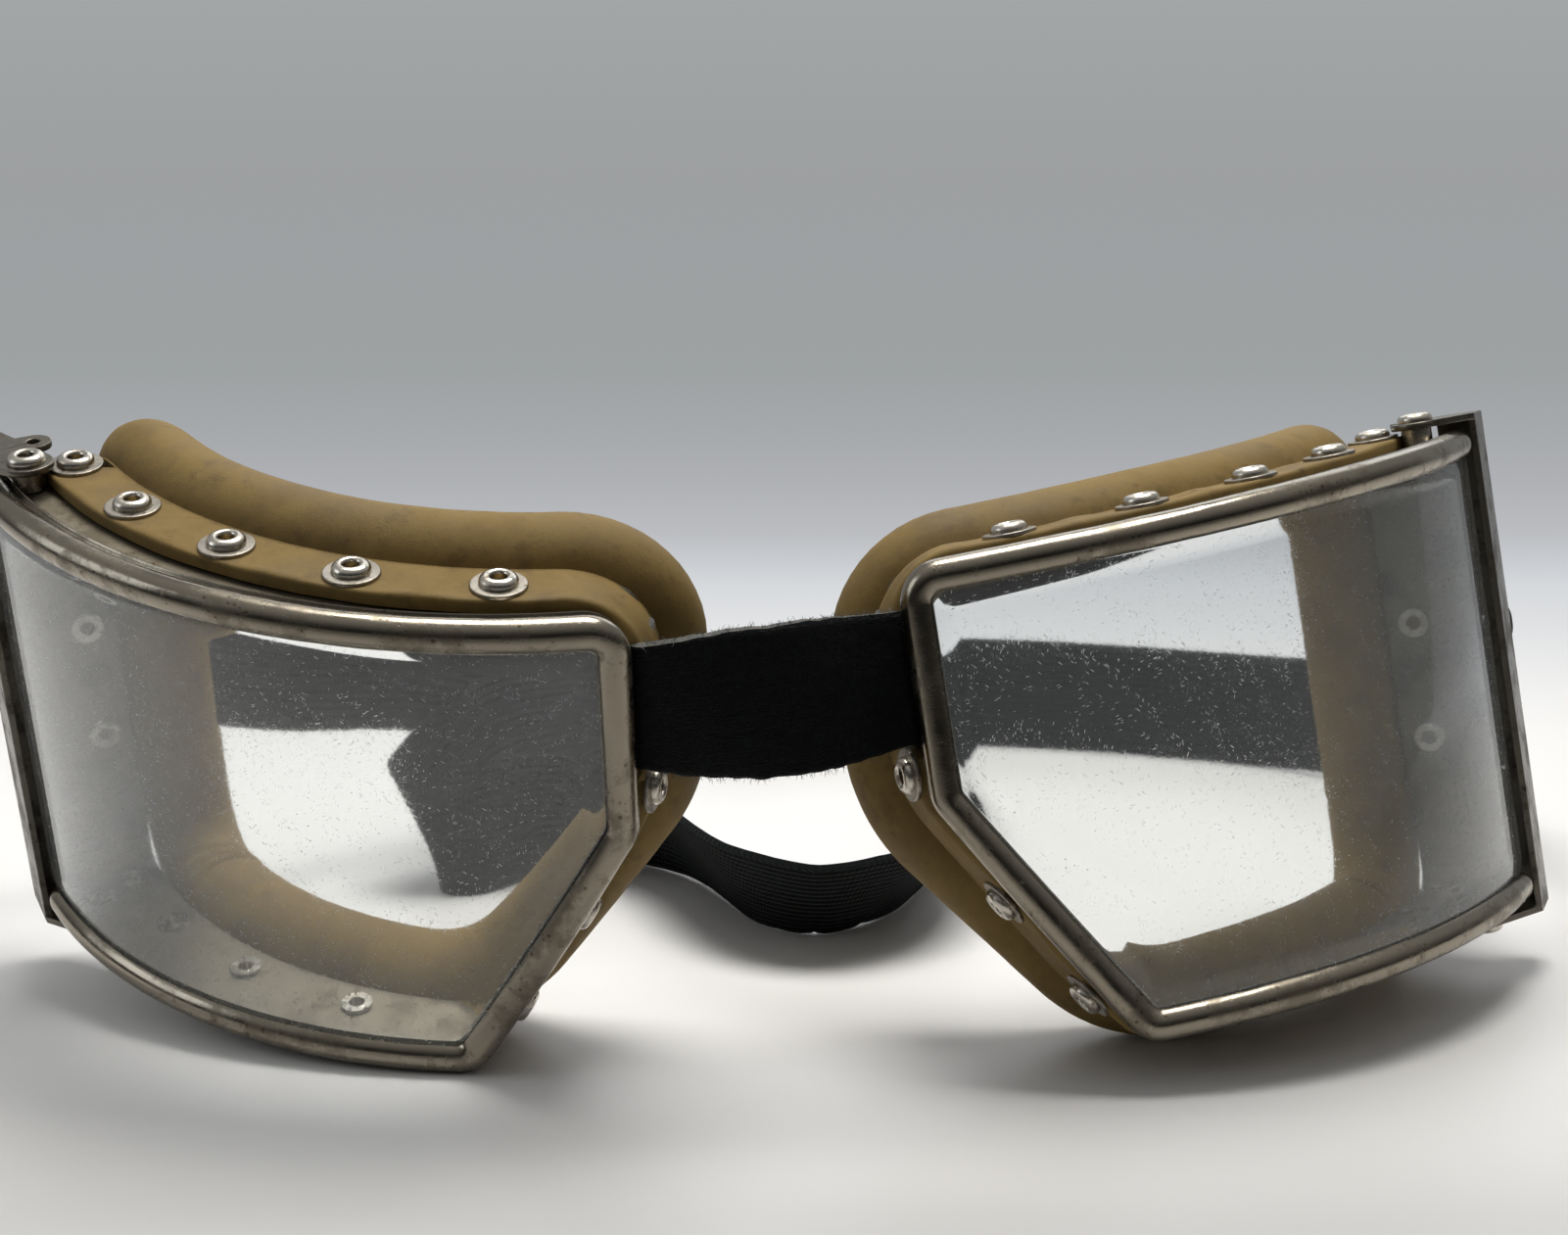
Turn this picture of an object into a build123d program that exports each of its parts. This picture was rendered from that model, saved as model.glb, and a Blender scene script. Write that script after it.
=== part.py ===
from build123d import *
import os
from math import asin, cos, radians, sin, sqrt

# Aviator flying goggles, laid on a table as they are found: two bent-lens eyepieces joined at the nose
# by a leather strap, a strap gate hinged at each outer end, and an elastic head strap behind.
# Millimetres. +Z is up, the lenses face -Y, left is -X and right is +X.
# Each eyepiece is drawn in its own frame, as the right one: the origin is the inner top corner of the
# rim's centre line, x runs outward, y back towards the face and z up. The left one is its mirror image.

# Lens outline, on the rim's centre line
lens_radius = 65.3
lens_arc = 87.3
eye_height = 52.0
nose_bar_height = 24.0
nose_cut_width = 18.0
top_slope_shares = (0.039, 0.030)
bottom_slope_shares = (0.012, 0.012)
inner_corner = 1.1

# Sheet metal and lens
rim_wire = 3.8
rim_edge_round = 1.45
groove_depth = 1.7
lens_thickness = 1.4
lens_clearance = 0.1
lens_seat = 1.2
lens_end_setback = 1.0
wall_sheet = 0.6
wall_front = 1.3
wall_roll_gap = 0.3
wall_slot_clearance = 0.05
nose_flare = 27.8
cut_flare = 21.8
rim_end_setback = 4.2

# Rubber face cushion: a riveted flange and a round roll, set deeper towards the temple
cushion_lean = 3.4
flange_sheet = 1.7
flange_front = 2.5
flange_back = 12.0
flange_seat_gap = 0.05
roll_radius = 5.2
roll_depth = 14.6
roll_rise = 0.8
roll_nose_rise = 7.9
roll_cut_rises = (7.4, 3.8)
roll_top_corner = 11.0
roll_end_corner = 9.0
roll_bottom_corner = 16.0
roll_nose_corner = 18.0

# Eyelets and their washers
eyelet_hole = 1.8
eyelet_barrel = 2.6
eyelet_head = 4.2
eyelet_head_rise = 1.0
eyelet_clinch = 3.6
eyelet_clinch_rise = 0.5
eyelet_depth = 5.8
washer_diameter = 6.1
washer_sheet = 0.4
hole_clearance = 0.05
top_eyelet_shares = (0.133, 0.332, 0.528, 0.722, 0.903)
bottom_eyelet_shares = (0.395, 0.60, 0.785, 0.938)
end_eyelet_shares = (0.34, 0.62)
cut_eyelet_shares = (0.40, 0.82)
nose_eyelet_share = 0.895

# Strap gate: a sheet bracket that closes the lens's outer end and carries the head strap
gate_sheet = 0.8
gate_leg_reach = 3.2
gate_leg_gap = 0.7
gate_web_offset = 2.9
gate_web_back = 3.3
gate_slot_width = 1.8
gate_slot_front = 0.3
gate_slot_play = 0.6
gate_slot_drop = 28.0
gate_ear_rise = 3.0
gate_ear_front = 0.6
gate_ear_radius = 2.9
gate_pivot_inset = 7.3
gate_pivot_depth = 4.3
gate_pivot_clearance = 0.05
gate_pivot_slope_room = 0.12
gate_tab_radius = 2.0
gate_tab_hole = 1.5
gate_tab_inset = 1.6
gate_tab_depth = 6.2
gate_corner_room = 4.9
gate_corner_depth = 9.5
gate_corner_height = 3.4

# Leather nose strap
leather_sheet = 1.6
leather_width = 14.7
leather_top_drop = 3.3
leather_leg_front = 2.6
leather_leg_back = 9.8
leather_belly = 1.8
leather_notch_gap = 0.4
bridge_rivet_head = 4.0
bridge_rivet_shank = 2.0
bridge_rivet_tail = 3.2
bridge_rivet_rise = 0.7
bridge_rivet_depth = 7.4
bridge_rivet_shares = (0.25, 0.75)

# Elastic head strap
strap_width = 18.5
strap_sheet = 1.3
strap_gap = 0.15
loop_tail = 13.0
loop_end_gap = 0.3
loop_lead = 6.0
tail_lap_gap = 1.0
tail_lap_shares = (0.30, 0.284)
tail_lap_drops = (5.0, 6.2)

# How each eyepiece lies on the table: turns about x, y and z in degrees, then its place
right_tilt = (-8.02, -9.06, -10.2)
right_place = (13.97, -1.37)
left_tilt = (15.13, -0.77, 14.36)
left_place = (-17.58, -15.74)

# Overruns of cuts, and the thinnest corner that is rounded
overrun = 1.0
reach = 200.0
least_round = 0.2

# The route of the head strap behind the eyepieces: the middle of the webbing, then which way its
# upper edge leans from its lower edge. Where no height is given, the lower edge stands on the table.
strap_route = [
    ((-95.5, 53.0, 38.5), (-0.10, 0.10, 1.00)),
    ((-88.0, 57.5, 35.5), (-0.10, 0.10, 1.00)),
    ((-79.0, 59.0, 33.5), (-0.10, 0.08, 1.00)),
    ((-69.0, 62.0, 31.6), (-0.10, 0.05, 1.00)),
    ((-58.0, 69.5, 29.8), (-0.05, 0.08, 1.00)),
    ((-46.6, 81.0, 25.9), (0.00, 0.22, 1.00)),
    ((-36.3, 91.0, 20.8), (-0.05, 0.60, 0.80)),
    ((-27.5, 101.0, 15.5), (-0.35, 0.80, 0.45)),
    ((-19.5, 115.0, 11.0), (-0.35, 0.60, 0.75)),
    ((-9.0, 128.5, None), (-0.10, 0.20, 1.00)),
    ((7.0, 136.0, None), (0.00, 0.00, 1.00)),
    ((28.0, 136.5, None), (0.00, 0.00, 1.00)),
    ((50.0, 132.5, None), (0.00, 0.00, 1.00)),
    ((72.0, 125.5, None), (0.00, 0.00, 1.00)),
    ((90.0, 114.5, 10.5), (0.10, 0.00, 1.00)),
    ((100.5, 98.0, 15.0), (0.15, 0.00, 1.00)),
    ((102.5, 79.0, 23.0), (0.20, 0.10, 1.00)),
]

# The strap's loose tail: it leaves its sewn lap on the strap, folds back on itself at the left and
# lies out in a bow on the table
tail_route = [
    ((-43.6, 73.0, 16.0), (-0.20, 0.10, 0.97)),
    ((-47.6, 68.2, 12.2), (-0.35, 0.03, 0.93)),
    ((-50.2, 63.6, 9.5), (-0.41, 0.00, 0.91)),
    ((-49.0, 59.4, 9.0), (-0.41, 0.00, 0.91)),
    ((-45.2, 58.0, 8.9), (-0.41, 0.00, 0.91)),
    ((-41.0, 59.8, 8.9), (-0.36, -0.14, 0.92)),
    ((-35.4, 64.0, None), (-0.26, -0.34, 0.90)),
    ((-28.4, 68.0, None), (-0.20, -0.52, 0.83)),
    ((-19.0, 63.5, None), (-0.42, -0.34, 0.84)),
    ((-10.5, 48.5, None), (-0.45, -0.36, 0.82)),
    ((-4.0, 38.5, None), (-0.28, -0.60, 0.75)),
    ((4.0, 35.0, None), (0.02, -0.72, 0.69)),
    ((14.0, 40.0, None), (0.46, -0.52, 0.72)),
    ((21.0, 52.5, None), (0.50, -0.20, 0.84)),
    ((23.5, 68.0, None), (0.30, -0.04, 0.95)),
    ((22.5, 81.0, None), (0.12, 0.00, 0.99)),
    ((20.5, 93.0, None), (0.00, 0.00, 1.00)),
]
strap_step = 5.0
stretch_turn = 75
tail_step = 2.0

# Worked out from the values above
end_turn = lens_arc / lens_radius
end_point = Vector(lens_radius * sin(end_turn), lens_radius * (1 - cos(end_turn)), 0)
end_out = Vector(cos(end_turn), sin(end_turn), 0)
cut_normal = Vector(nose_bar_height - eye_height, 0, -nose_cut_width).normalized()
top_normal = Vector(-top_slope_shares[0], -top_slope_shares[1], 1).normalized()
bottom_normal = Vector(bottom_slope_shares[0], bottom_slope_shares[1], -1).normalized()
cut_back = lens_radius * (1 - cos(asin(nose_cut_width / lens_radius)))
cut_foot = Vector(nose_cut_width, cut_back, -eye_height)
outline_corner = rim_wire / 2 + inner_corner
wall_back = roll_depth - roll_radius - wall_roll_gap
wall_out = wall_sheet
flange_in = wall_out + flange_seat_gap
flange_out = flange_in + flange_sheet
washer_seat = flange_out
head_seat = washer_seat + washer_sheet
gate_slot_height = strap_width + 2 * gate_slot_play
upright = Plane(origin=end_point, x_dir=end_out, z_dir=(0, 0, 1))
cut_run = Vector(cut_foot.X, cut_foot.Y, cut_foot.Z + nose_bar_height).normalized()
nose_turn_out = radians(nose_flare)
cut_turn_out = radians(cut_flare)


def top_height(x, y):
    return top_slope_shares[0] * x + top_slope_shares[1] * y


def bottom_height(x, y):
    rise_out = bottom_slope_shares[0] * (x - cut_foot.X)
    rise_back = bottom_slope_shares[1] * (y - cut_foot.Y)
    return rise_out + rise_back - eye_height


def nose_plane(height):
    """The nose wall's face at this height above the sheet's inner face. Its x runs back along it."""
    back = Vector(-sin(nose_turn_out), cos(nose_turn_out), 0)
    normal = Vector(-cos(nose_turn_out), -sin(nose_turn_out), 0)
    return Plane(origin=Vector(0, wall_front, 0) + normal * height, x_dir=back, z_dir=normal)


def cut_plane(height):
    """The slanting wall's face at this height above the sheet's inner face. Its x runs back along it."""
    square = cut_run.cross(cut_normal)
    back = square * cos(cut_turn_out) + cut_normal * sin(cut_turn_out)
    normal = cut_normal * cos(cut_turn_out) - square * sin(cut_turn_out)
    start = Vector(0, wall_front, -nose_bar_height)
    return Plane(origin=start + normal * height, x_dir=back, z_dir=normal)


def side_planes(out, end_offset, flared=False):
    """The five sides of an eyepiece, moved outward by out, and its outer end by end_offset. Behind the
    rim the nose side and the slanting side are flared out towards the face."""
    bar_foot = Vector(0, 0, -nose_bar_height)
    straight = [
        Plane(origin=(-out, 0, 0), z_dir=(-1, 0, 0)),
        Plane(origin=bar_foot + cut_normal * out, z_dir=cut_normal),
    ]
    nose_sides = [nose_plane(out), cut_plane(out)] if flared else straight
    return [
        Plane(origin=top_normal * out, z_dir=top_normal),
        Plane(origin=cut_foot + bottom_normal * out, z_dir=bottom_normal),
        *nose_sides,
        Plane(origin=end_point + end_out * end_offset, z_dir=end_out),
    ]


def cup_block(front, back, out, end_offset, lean_front=0.0, lean_back=0.0, flared=False):
    """A solid slice of the eyepiece's box, from the depth front to the depth back behind the lens
    surface. A lean moves that surface's axis to the nose, so that the slice sits deeper outward."""
    low = -eye_height - 2 * flange_out - roll_radius
    with BuildPart() as block:
        with BuildSketch(Plane.XY.offset(low)):
            with Locations((-lean_front, lens_radius)):
                Circle(lens_radius - front)
            with Locations((-lean_back, lens_radius)):
                Circle(lens_radius - back, mode=Mode.SUBTRACT)
        extrude(amount=2 * eye_height + flange_out)
        for plane in side_planes(out, end_offset, flared):
            split(bisect_by=plane, keep=Keep.BOTTOM)
        corners = edges().filter_by(GeomType.LINE).filter_by(Axis.Z, reverse=True)
        corner_round = outline_corner + out
        if corner_round > least_round:
            fillet(corners, corner_round)
    return block.part


def on_top(arc, depth, height):
    turn = arc / lens_radius
    x = (lens_radius - depth) * sin(turn)
    y = lens_radius - (lens_radius - depth) * cos(turn)
    return Plane(origin=Vector(x, y, top_height(x, y)) + top_normal * height, z_dir=top_normal)


def on_bottom(arc, depth, height):
    turn = arc / lens_radius
    x = (lens_radius - depth) * sin(turn)
    y = lens_radius - (lens_radius - depth) * cos(turn)
    base = Vector(x, y, bottom_height(x, y))
    return Plane(origin=base + bottom_normal * height, z_dir=bottom_normal)


def eyelet_planes(height):
    """Where the cushion's eyelets stand, at a height above the rim's centre line."""
    places = []
    for share in top_eyelet_shares:
        depth = eyelet_depth + cushion_lean * sin(share * end_turn)
        places.append(on_top(share * lens_arc, depth, height))
    for share in bottom_eyelet_shares:
        depth = eyelet_depth + cushion_lean * sin(share * end_turn)
        places.append(on_bottom(share * lens_arc, depth, height))
    end_depth = eyelet_depth + cushion_lean * sin(end_turn)
    inward = Vector(-end_out.Y, end_out.X, 0)
    for share in end_eyelet_shares:
        origin = end_point + inward * end_depth + end_out * height - Vector(0, 0, share * eye_height)
        places.append(Plane(origin=origin, z_dir=end_out))
    along_cut = Vector(nose_cut_width, cut_back, nose_bar_height - eye_height)
    slanting = cut_plane(height)
    nose = nose_plane(height)
    spot_back = eyelet_depth - wall_front
    for share in cut_eyelet_shares:
        origin = slanting.origin + slanting.x_dir * spot_back + along_cut * share
        places.append(Plane(origin=origin, z_dir=slanting.z_dir))
    nose_drop = Vector(0, 0, -nose_eyelet_share * nose_bar_height)
    places.append(Plane(origin=nose.origin + nose.x_dir * spot_back + nose_drop, z_dir=nose.z_dir))
    return places


def pivot_axis_point(z):
    """A point at height z on the gate's upright hinge line."""
    return upright.from_local_coords(Vector(-gate_pivot_inset, gate_pivot_depth, z))


def pivot_planes():
    """Where the hinge line meets the side wall, above and below."""
    line = pivot_axis_point(0)
    top = Plane(origin=(line.X, line.Y, top_height(line.X, line.Y)), z_dir=(0, 0, 1))
    low = Plane(origin=(line.X, line.Y, bottom_height(line.X, line.Y)), z_dir=(0, 0, -1))
    return [top, low]


def rivet_planes(height):
    places = []
    nose = nose_plane(height)
    for share in bridge_rivet_shares:
        drop = Vector(0, 0, -leather_top_drop - share * leather_width)
        origin = nose.origin + nose.x_dir * (bridge_rivet_depth - wall_front) + drop
        places.append(Plane(origin=origin, z_dir=nose.z_dir))
    return places


def make_rim():
    """The rolled rim: a ring along the outline, grooved inside for the lens and slotted for the wall."""
    half = rim_wire / 2
    hollow = cup_block(-half - overrun, half + overrun, -half, reach)
    groove = cup_block(
        -lens_thickness / 2 - lens_clearance,
        lens_thickness / 2 + lens_clearance,
        groove_depth - half,
        reach,
    )
    slot_outer = cup_block(
        wall_front - lens_clearance, wall_back, wall_out + wall_slot_clearance, reach, flared=True
    )
    slot_inner = cup_block(0, wall_back + overrun, -wall_slot_clearance, reach, flared=True)
    wall_slot = slot_outer - slot_inner
    solid_ring = cup_block(-half, half, half, overrun)
    end_plane = side_planes(0, -rim_end_setback)[-1]
    with BuildPart() as ring:
        add(solid_ring)
        add(hollow, mode=Mode.SUBTRACT)
        split(bisect_by=end_plane, keep=Keep.BOTTOM)
        turned = faces().filter_by(GeomType.CYLINDER).sort_by(SortBy.AREA)[-2:]
        long_edges = turned.edges().filter_by(lambda edge: edge.length > outline_corner / 2)
        rounded = long_edges.filter_by(
            lambda edge: abs(end_plane.to_local_coords(edge @ 0.5).Z) > least_round
        )
        fillet(rounded, rim_edge_round)
        add(groove, mode=Mode.SUBTRACT)
        add(wall_slot, mode=Mode.SUBTRACT)
    return ring.part


def make_wall():
    """The sheet side wall of the eyepiece, running back from the rim into the cushion."""
    outer = cup_block(wall_front, wall_back, wall_out, wall_out, 0, cushion_lean, flared=True)
    inner = cup_block(wall_front - overrun, wall_back + overrun, 0, 0, 0, cushion_lean, flared=True)
    with BuildPart() as wall:
        add(outer)
        add(inner, mode=Mode.SUBTRACT)
        with Locations(*(eyelet_planes(0) + pivot_planes())):
            Cylinder(eyelet_barrel / 2 + hole_clearance, 4 * wall_out, mode=Mode.SUBTRACT)
        with Locations(*rivet_planes(0)):
            Cylinder(bridge_rivet_shank / 2 + hole_clearance, 4 * wall_out, mode=Mode.SUBTRACT)
    return wall.part


def make_lens():
    half = lens_thickness / 2
    return cup_block(-half, half, lens_seat - rim_wire / 2, -lens_end_setback)


def roll_path():
    """The closed middle line of the cushion's roll: arcs round the bend and round each corner."""
    ring = lens_radius - roll_depth
    centre = Vector(-cushion_lean, lens_radius, 0)
    nose_turn = asin((cushion_lean - roll_nose_rise) / ring)
    end_shift = roll_rise + cushion_lean * cos(end_turn)
    far_turn = end_turn + asin(end_shift / ring)
    top_step = (far_turn - nose_turn) / 3
    cut_head = Vector(0, 0, -nose_bar_height) + cut_normal * roll_cut_rises[0]
    cut_end = Vector(nose_cut_width, 0, -eye_height) + cut_normal * roll_cut_rises[1]
    cut_way = cut_end - cut_head
    bar_z = cut_head.Z - (cut_head.X + roll_nose_rise) * cut_way.Z / cut_way.X
    foot_z = -eye_height - roll_rise
    foot_x = cut_head.X + (foot_z - cut_head.Z) * cut_way.X / cut_way.Z
    foot_turn = asin((foot_x + cushion_lean) / ring)
    low_step = (far_turn - foot_turn) / 2

    def at(turn, step, height):  # step: the turn between two middle corners, or zero at the ends
        stretch = ring / cos(step / 2)
        x = centre.X + stretch * sin(turn)
        y = centre.Y - stretch * cos(turn)
        return Vector(x, y, height(x, y))

    def above(x, y):
        return top_height(x, y) + roll_rise

    def below(x, y):
        return bottom_height(x, y) - roll_rise

    top_steps = (0, top_step, top_step, 0)
    low_steps = (0, low_step, 0)
    top = [at(nose_turn + i * top_step, step, above) for i, step in enumerate(top_steps)]
    low = [at(foot_turn + i * low_step, step, below) for i, step in enumerate(low_steps)]
    bar = Vector(top[0].X, top[0].Y, bar_z)
    points = top + low[::-1] + [bar]
    bend_share = 0.86
    bend = ring * bend_share
    radii = [roll_top_corner, bend, bend, roll_end_corner, roll_end_corner, bend, roll_bottom_corner,
             roll_nose_corner]
    with BuildLine() as line:
        FilletPolyline(*points, radius=radii, close=True)
    return line.line


def make_roll():
    path = roll_path()
    with BuildPart() as roll:
        for edge in path.edges():
            start = edge @ 0
            backward = Vector(-cushion_lean - start.X, lens_radius - start.Y, 0)
            with BuildSketch(Plane(origin=start, x_dir=backward, z_dir=edge % 0)):
                Circle(roll_radius)
            sweep(path=edge)
    return roll.part


def make_flange():
    """The cushion's flange outside the wall, open for the nose leather and cut away at the gate."""
    flange = cup_block(
        flange_front, flange_back, flange_out, flange_out, cushion_lean, cushion_lean, flared=True
    )
    inside = cup_block(-reach / 4, flange_back + overrun, flange_in, flange_in, 0, cushion_lean, flared=True)
    leather_height = leather_width + 2 * leather_notch_gap
    leather_middle = -leather_top_drop - leather_width / 2
    leather_reach = leather_leg_back - wall_front + leather_notch_gap
    notch = Plane(origin=nose_plane(0).origin, x_dir=nose_plane(0).x_dir, z_dir=(0, 0, 1))
    notch_out = flange_out + overrun
    top_end = top_height(end_point.X, end_point.Y)
    low_end = bottom_height(end_point.X, end_point.Y)
    with BuildPart() as band:
        add(flange)
        add(inside, mode=Mode.SUBTRACT)
        with BuildSketch(notch.offset(leather_middle - leather_height / 2)):
            with Locations(((leather_reach - overrun) / 2, notch_out / 2)):
                Rectangle(leather_reach + overrun, notch_out)
        extrude(amount=leather_height, mode=Mode.SUBTRACT)
        for height in (top_end, low_end):
            corner = Plane(origin=upright.origin + Vector(0, 0, height), x_dir=end_out, z_dir=(0, 0, 1))
            with BuildSketch(corner.offset(-gate_corner_height)):
                with Locations((0, gate_corner_depth / 2)):
                    Rectangle(2 * gate_corner_room, gate_corner_depth)
            extrude(amount=2 * gate_corner_height, mode=Mode.SUBTRACT)
    return band.part


def make_cushion():
    """The moulded rubber cushion: the flange outside the wall and the roll that meets the face."""
    roll = make_roll()
    flange = make_flange()
    with BuildPart() as cushion:
        add(flange)
        add(roll)
        with Locations(*eyelet_planes(0)):
            Cylinder(eyelet_barrel / 2 + hole_clearance, 4 * flange_out, mode=Mode.SUBTRACT)
    return cushion.part


def make_eyelet(head_base, clinch_seat=0.0, shoulder=None):
    """One tubular eyelet on its z axis. Height zero is the wall's inner face. A shoulder is a spacer
    sleeve from its first height to its second."""
    bore = eyelet_hole / 2
    barrel = eyelet_barrel / 2
    top = head_base + eyelet_head_rise
    with BuildPart() as eyelet:
        with BuildSketch(Plane.XZ):
            with BuildLine():
                Polyline(
                    (bore, top - eyelet_head_rise / 2),
                    (bore, clinch_seat - eyelet_clinch_rise),
                    (eyelet_clinch / 2, clinch_seat - eyelet_clinch_rise),
                    (eyelet_clinch / 2, clinch_seat),
                    (barrel, clinch_seat),
                    (barrel, head_base),
                    (eyelet_head / 2, head_base),
                )
                TangentArc((barrel, top), (eyelet_head / 2, head_base), tangent=(1, 0))
                TangentArc((barrel, top), (bore, top - eyelet_head_rise / 2), tangent=(-1, 0))
            make_face()
        revolve(axis=Axis.Z)
        if shoulder is not None:
            with BuildSketch(Plane.XY.offset(shoulder[0])):
                Circle(eyelet_clinch / 2)
                Circle(barrel - least_round, mode=Mode.SUBTRACT)
            extrude(amount=shoulder[1] - shoulder[0])
    return eyelet.part


def make_cushion_eyelets():
    eyelet = make_eyelet(head_seat)
    with BuildPart() as group:
        with Locations(*eyelet_planes(0)):
            add(eyelet)
    return group.part


def make_washers():
    with BuildPart() as washer:
        with BuildSketch():
            Circle(washer_diameter / 2)
            Circle(eyelet_barrel / 2 + hole_clearance, mode=Mode.SUBTRACT)
        extrude(amount=washer_sheet)
        fillet(washer.edges().group_by(Axis.Z)[-1].sort_by(SortBy.LENGTH)[-1], washer_sheet / 3)
    with BuildPart() as group:
        with Locations(*eyelet_planes(washer_seat)):
            add(washer.part)
    return group.part


def make_gate_eyelets():
    """The two upright eyelets that the gate turns on. They stand square to the hinge line."""
    shoulder = (wall_out + gate_pivot_slope_room, gate_ear_rise - gate_pivot_clearance)
    head = gate_ear_rise + gate_sheet + gate_pivot_clearance
    eyelet = make_eyelet(head, -gate_pivot_slope_room, shoulder)
    with BuildPart() as group:
        with Locations(*pivot_planes()):
            add(eyelet)
    return group.part


def make_gate():
    """The strap gate: a leg over the lens's end, a slotted web for the strap, and two pivoted ears."""
    top_pivot, low_pivot = pivot_planes()
    top = top_pivot.origin.Z + gate_ear_rise
    low = low_pivot.origin.Z - gate_ear_rise
    leg_front = -lens_thickness / 2 - gate_leg_gap - gate_sheet
    web_out = gate_web_offset + gate_sheet
    slot_top = -gate_slot_drop + gate_slot_height / 2
    with BuildPart() as gate:
        with BuildSketch(upright.offset(low - gate_sheet)):
            with Locations(((web_out - gate_leg_reach) / 2, leg_front + gate_sheet / 2)):
                Rectangle(web_out + gate_leg_reach, gate_sheet)
            with Locations((gate_web_offset + gate_sheet / 2, (leg_front + gate_web_back) / 2)):
                Rectangle(gate_sheet, gate_web_back - leg_front)
        extrude(amount=top - low + 2 * gate_sheet)
        with BuildSketch(upright.offset(slot_top - gate_slot_height)):
            with Locations((web_out, gate_slot_front + gate_slot_width / 2)):
                Rectangle(4 * gate_sheet, gate_slot_width)
        extrude(amount=gate_slot_height, mode=Mode.SUBTRACT)
        for level in (top, low - gate_sheet):
            with BuildSketch(upright.offset(level)) as ear:
                with Locations(((web_out - gate_leg_reach) / 2, (leg_front + gate_web_back) / 2)):
                    Rectangle(web_out + gate_leg_reach, gate_web_back - leg_front)
                with Locations((-gate_pivot_inset, gate_pivot_depth)):
                    Circle(gate_ear_radius)
                make_hull(ear.sketch_local.edges())
                with Locations((-gate_pivot_inset, gate_pivot_depth)):
                    Circle(eyelet_barrel / 2 + gate_pivot_clearance, mode=Mode.SUBTRACT)
            extrude(amount=gate_sheet)
        with BuildSketch(upright.offset(top)):
            with Locations((-gate_tab_inset, (gate_web_back + gate_tab_depth) / 2)):
                Rectangle(2 * gate_tab_radius, gate_tab_depth - gate_web_back)
            with Locations((-gate_tab_inset, gate_tab_depth)):
                Circle(gate_tab_radius)
                Circle(gate_tab_hole / 2, mode=Mode.SUBTRACT)
        extrude(amount=gate_sheet)
    return gate.part


def make_strap_loop():
    """The sewn end of the strap, round the gate's rear strip."""
    strip_front = gate_slot_front + gate_slot_width
    inner = (gate_web_offset - strap_gap, strip_front - strap_gap)
    outer = (gate_web_offset + gate_sheet + strap_gap, gate_web_back + strap_gap)
    tail_end = gate_web_offset + gate_sheet + loop_tail
    mid_depth = (inner[1] + outer[1]) / 2
    with BuildPart() as loop:
        with BuildSketch(upright.offset(-gate_slot_drop - strap_width / 2)):
            with BuildLine():
                Polyline(
                    (tail_end, mid_depth),
                    (tail_end, mid_depth - strap_sheet),
                    (outer[0] + loop_tail / 2, mid_depth - strap_sheet),
                    (outer[0], inner[1] - strap_sheet),
                    (inner[0] - strap_sheet, inner[1] - strap_sheet),
                    (inner[0] - strap_sheet, outer[1] + strap_sheet),
                    (outer[0], outer[1] + strap_sheet),
                    (outer[0] + loop_tail / 2, mid_depth + strap_sheet),
                    (tail_end, mid_depth + strap_sheet),
                    (tail_end, mid_depth),
                )
            make_face()
            with BuildLine():
                Polyline(
                    (inner[0], inner[1]),
                    (outer[0], inner[1]),
                    (outer[0] + loop_tail / 3, mid_depth),
                    (outer[0], outer[1]),
                    (inner[0], outer[1]),
                    (inner[0], inner[1]),
                )
            make_face(mode=Mode.SUBTRACT)
        extrude(amount=strap_width)
    return loop.part


def make_bridge_rivets():
    base = wall_out + wall_slot_clearance + leather_sheet
    with BuildPart() as rivet:
        with BuildSketch(Plane.XZ):
            with BuildLine():
                Polyline(
                    (0, base + bridge_rivet_rise),
                    (0, -bridge_rivet_rise),
                    (bridge_rivet_tail / 2, -bridge_rivet_rise),
                    (bridge_rivet_tail / 2, 0),
                    (bridge_rivet_shank / 2, 0),
                    (bridge_rivet_shank / 2, base),
                    (bridge_rivet_head / 2, base),
                )
                TangentArc((0, base + bridge_rivet_rise), (bridge_rivet_head / 2, base), tangent=(1, 0))
            make_face()
        revolve(axis=Axis.Z)
    with BuildPart() as group:
        with Locations(*rivet_planes(0)):
            add(rivet.part)
    return group.part


def turned(tilt):
    return Rotation(*tilt)


def stand(tilt, place, mirrored, pieces):
    """Where an eyepiece goes: turned, moved, and lifted until its lowest point meets the table."""
    location = Location((place[0], place[1], 0)) * turned(tilt)
    lowest = min(put(piece, location, mirrored).bounding_box().min.Z for piece in pieces)
    return Location((0, 0, -lowest)) * location


def put(body, location, mirrored):
    drawn = mirror(body, about=Plane.YZ) if mirrored else body
    with BuildPart() as placed:
        with Locations(location):
            add(drawn)
    return placed.part


def table_point(location, mirrored, point):
    side = -1 if mirrored else 1
    local = Location((side * point[0], point[1], point[2]))
    return (location * local).position


def table_direction(location, mirrored, direction):
    zero = table_point(location, mirrored, (0, 0, 0))
    return table_point(location, mirrored, direction) - zero


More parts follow.
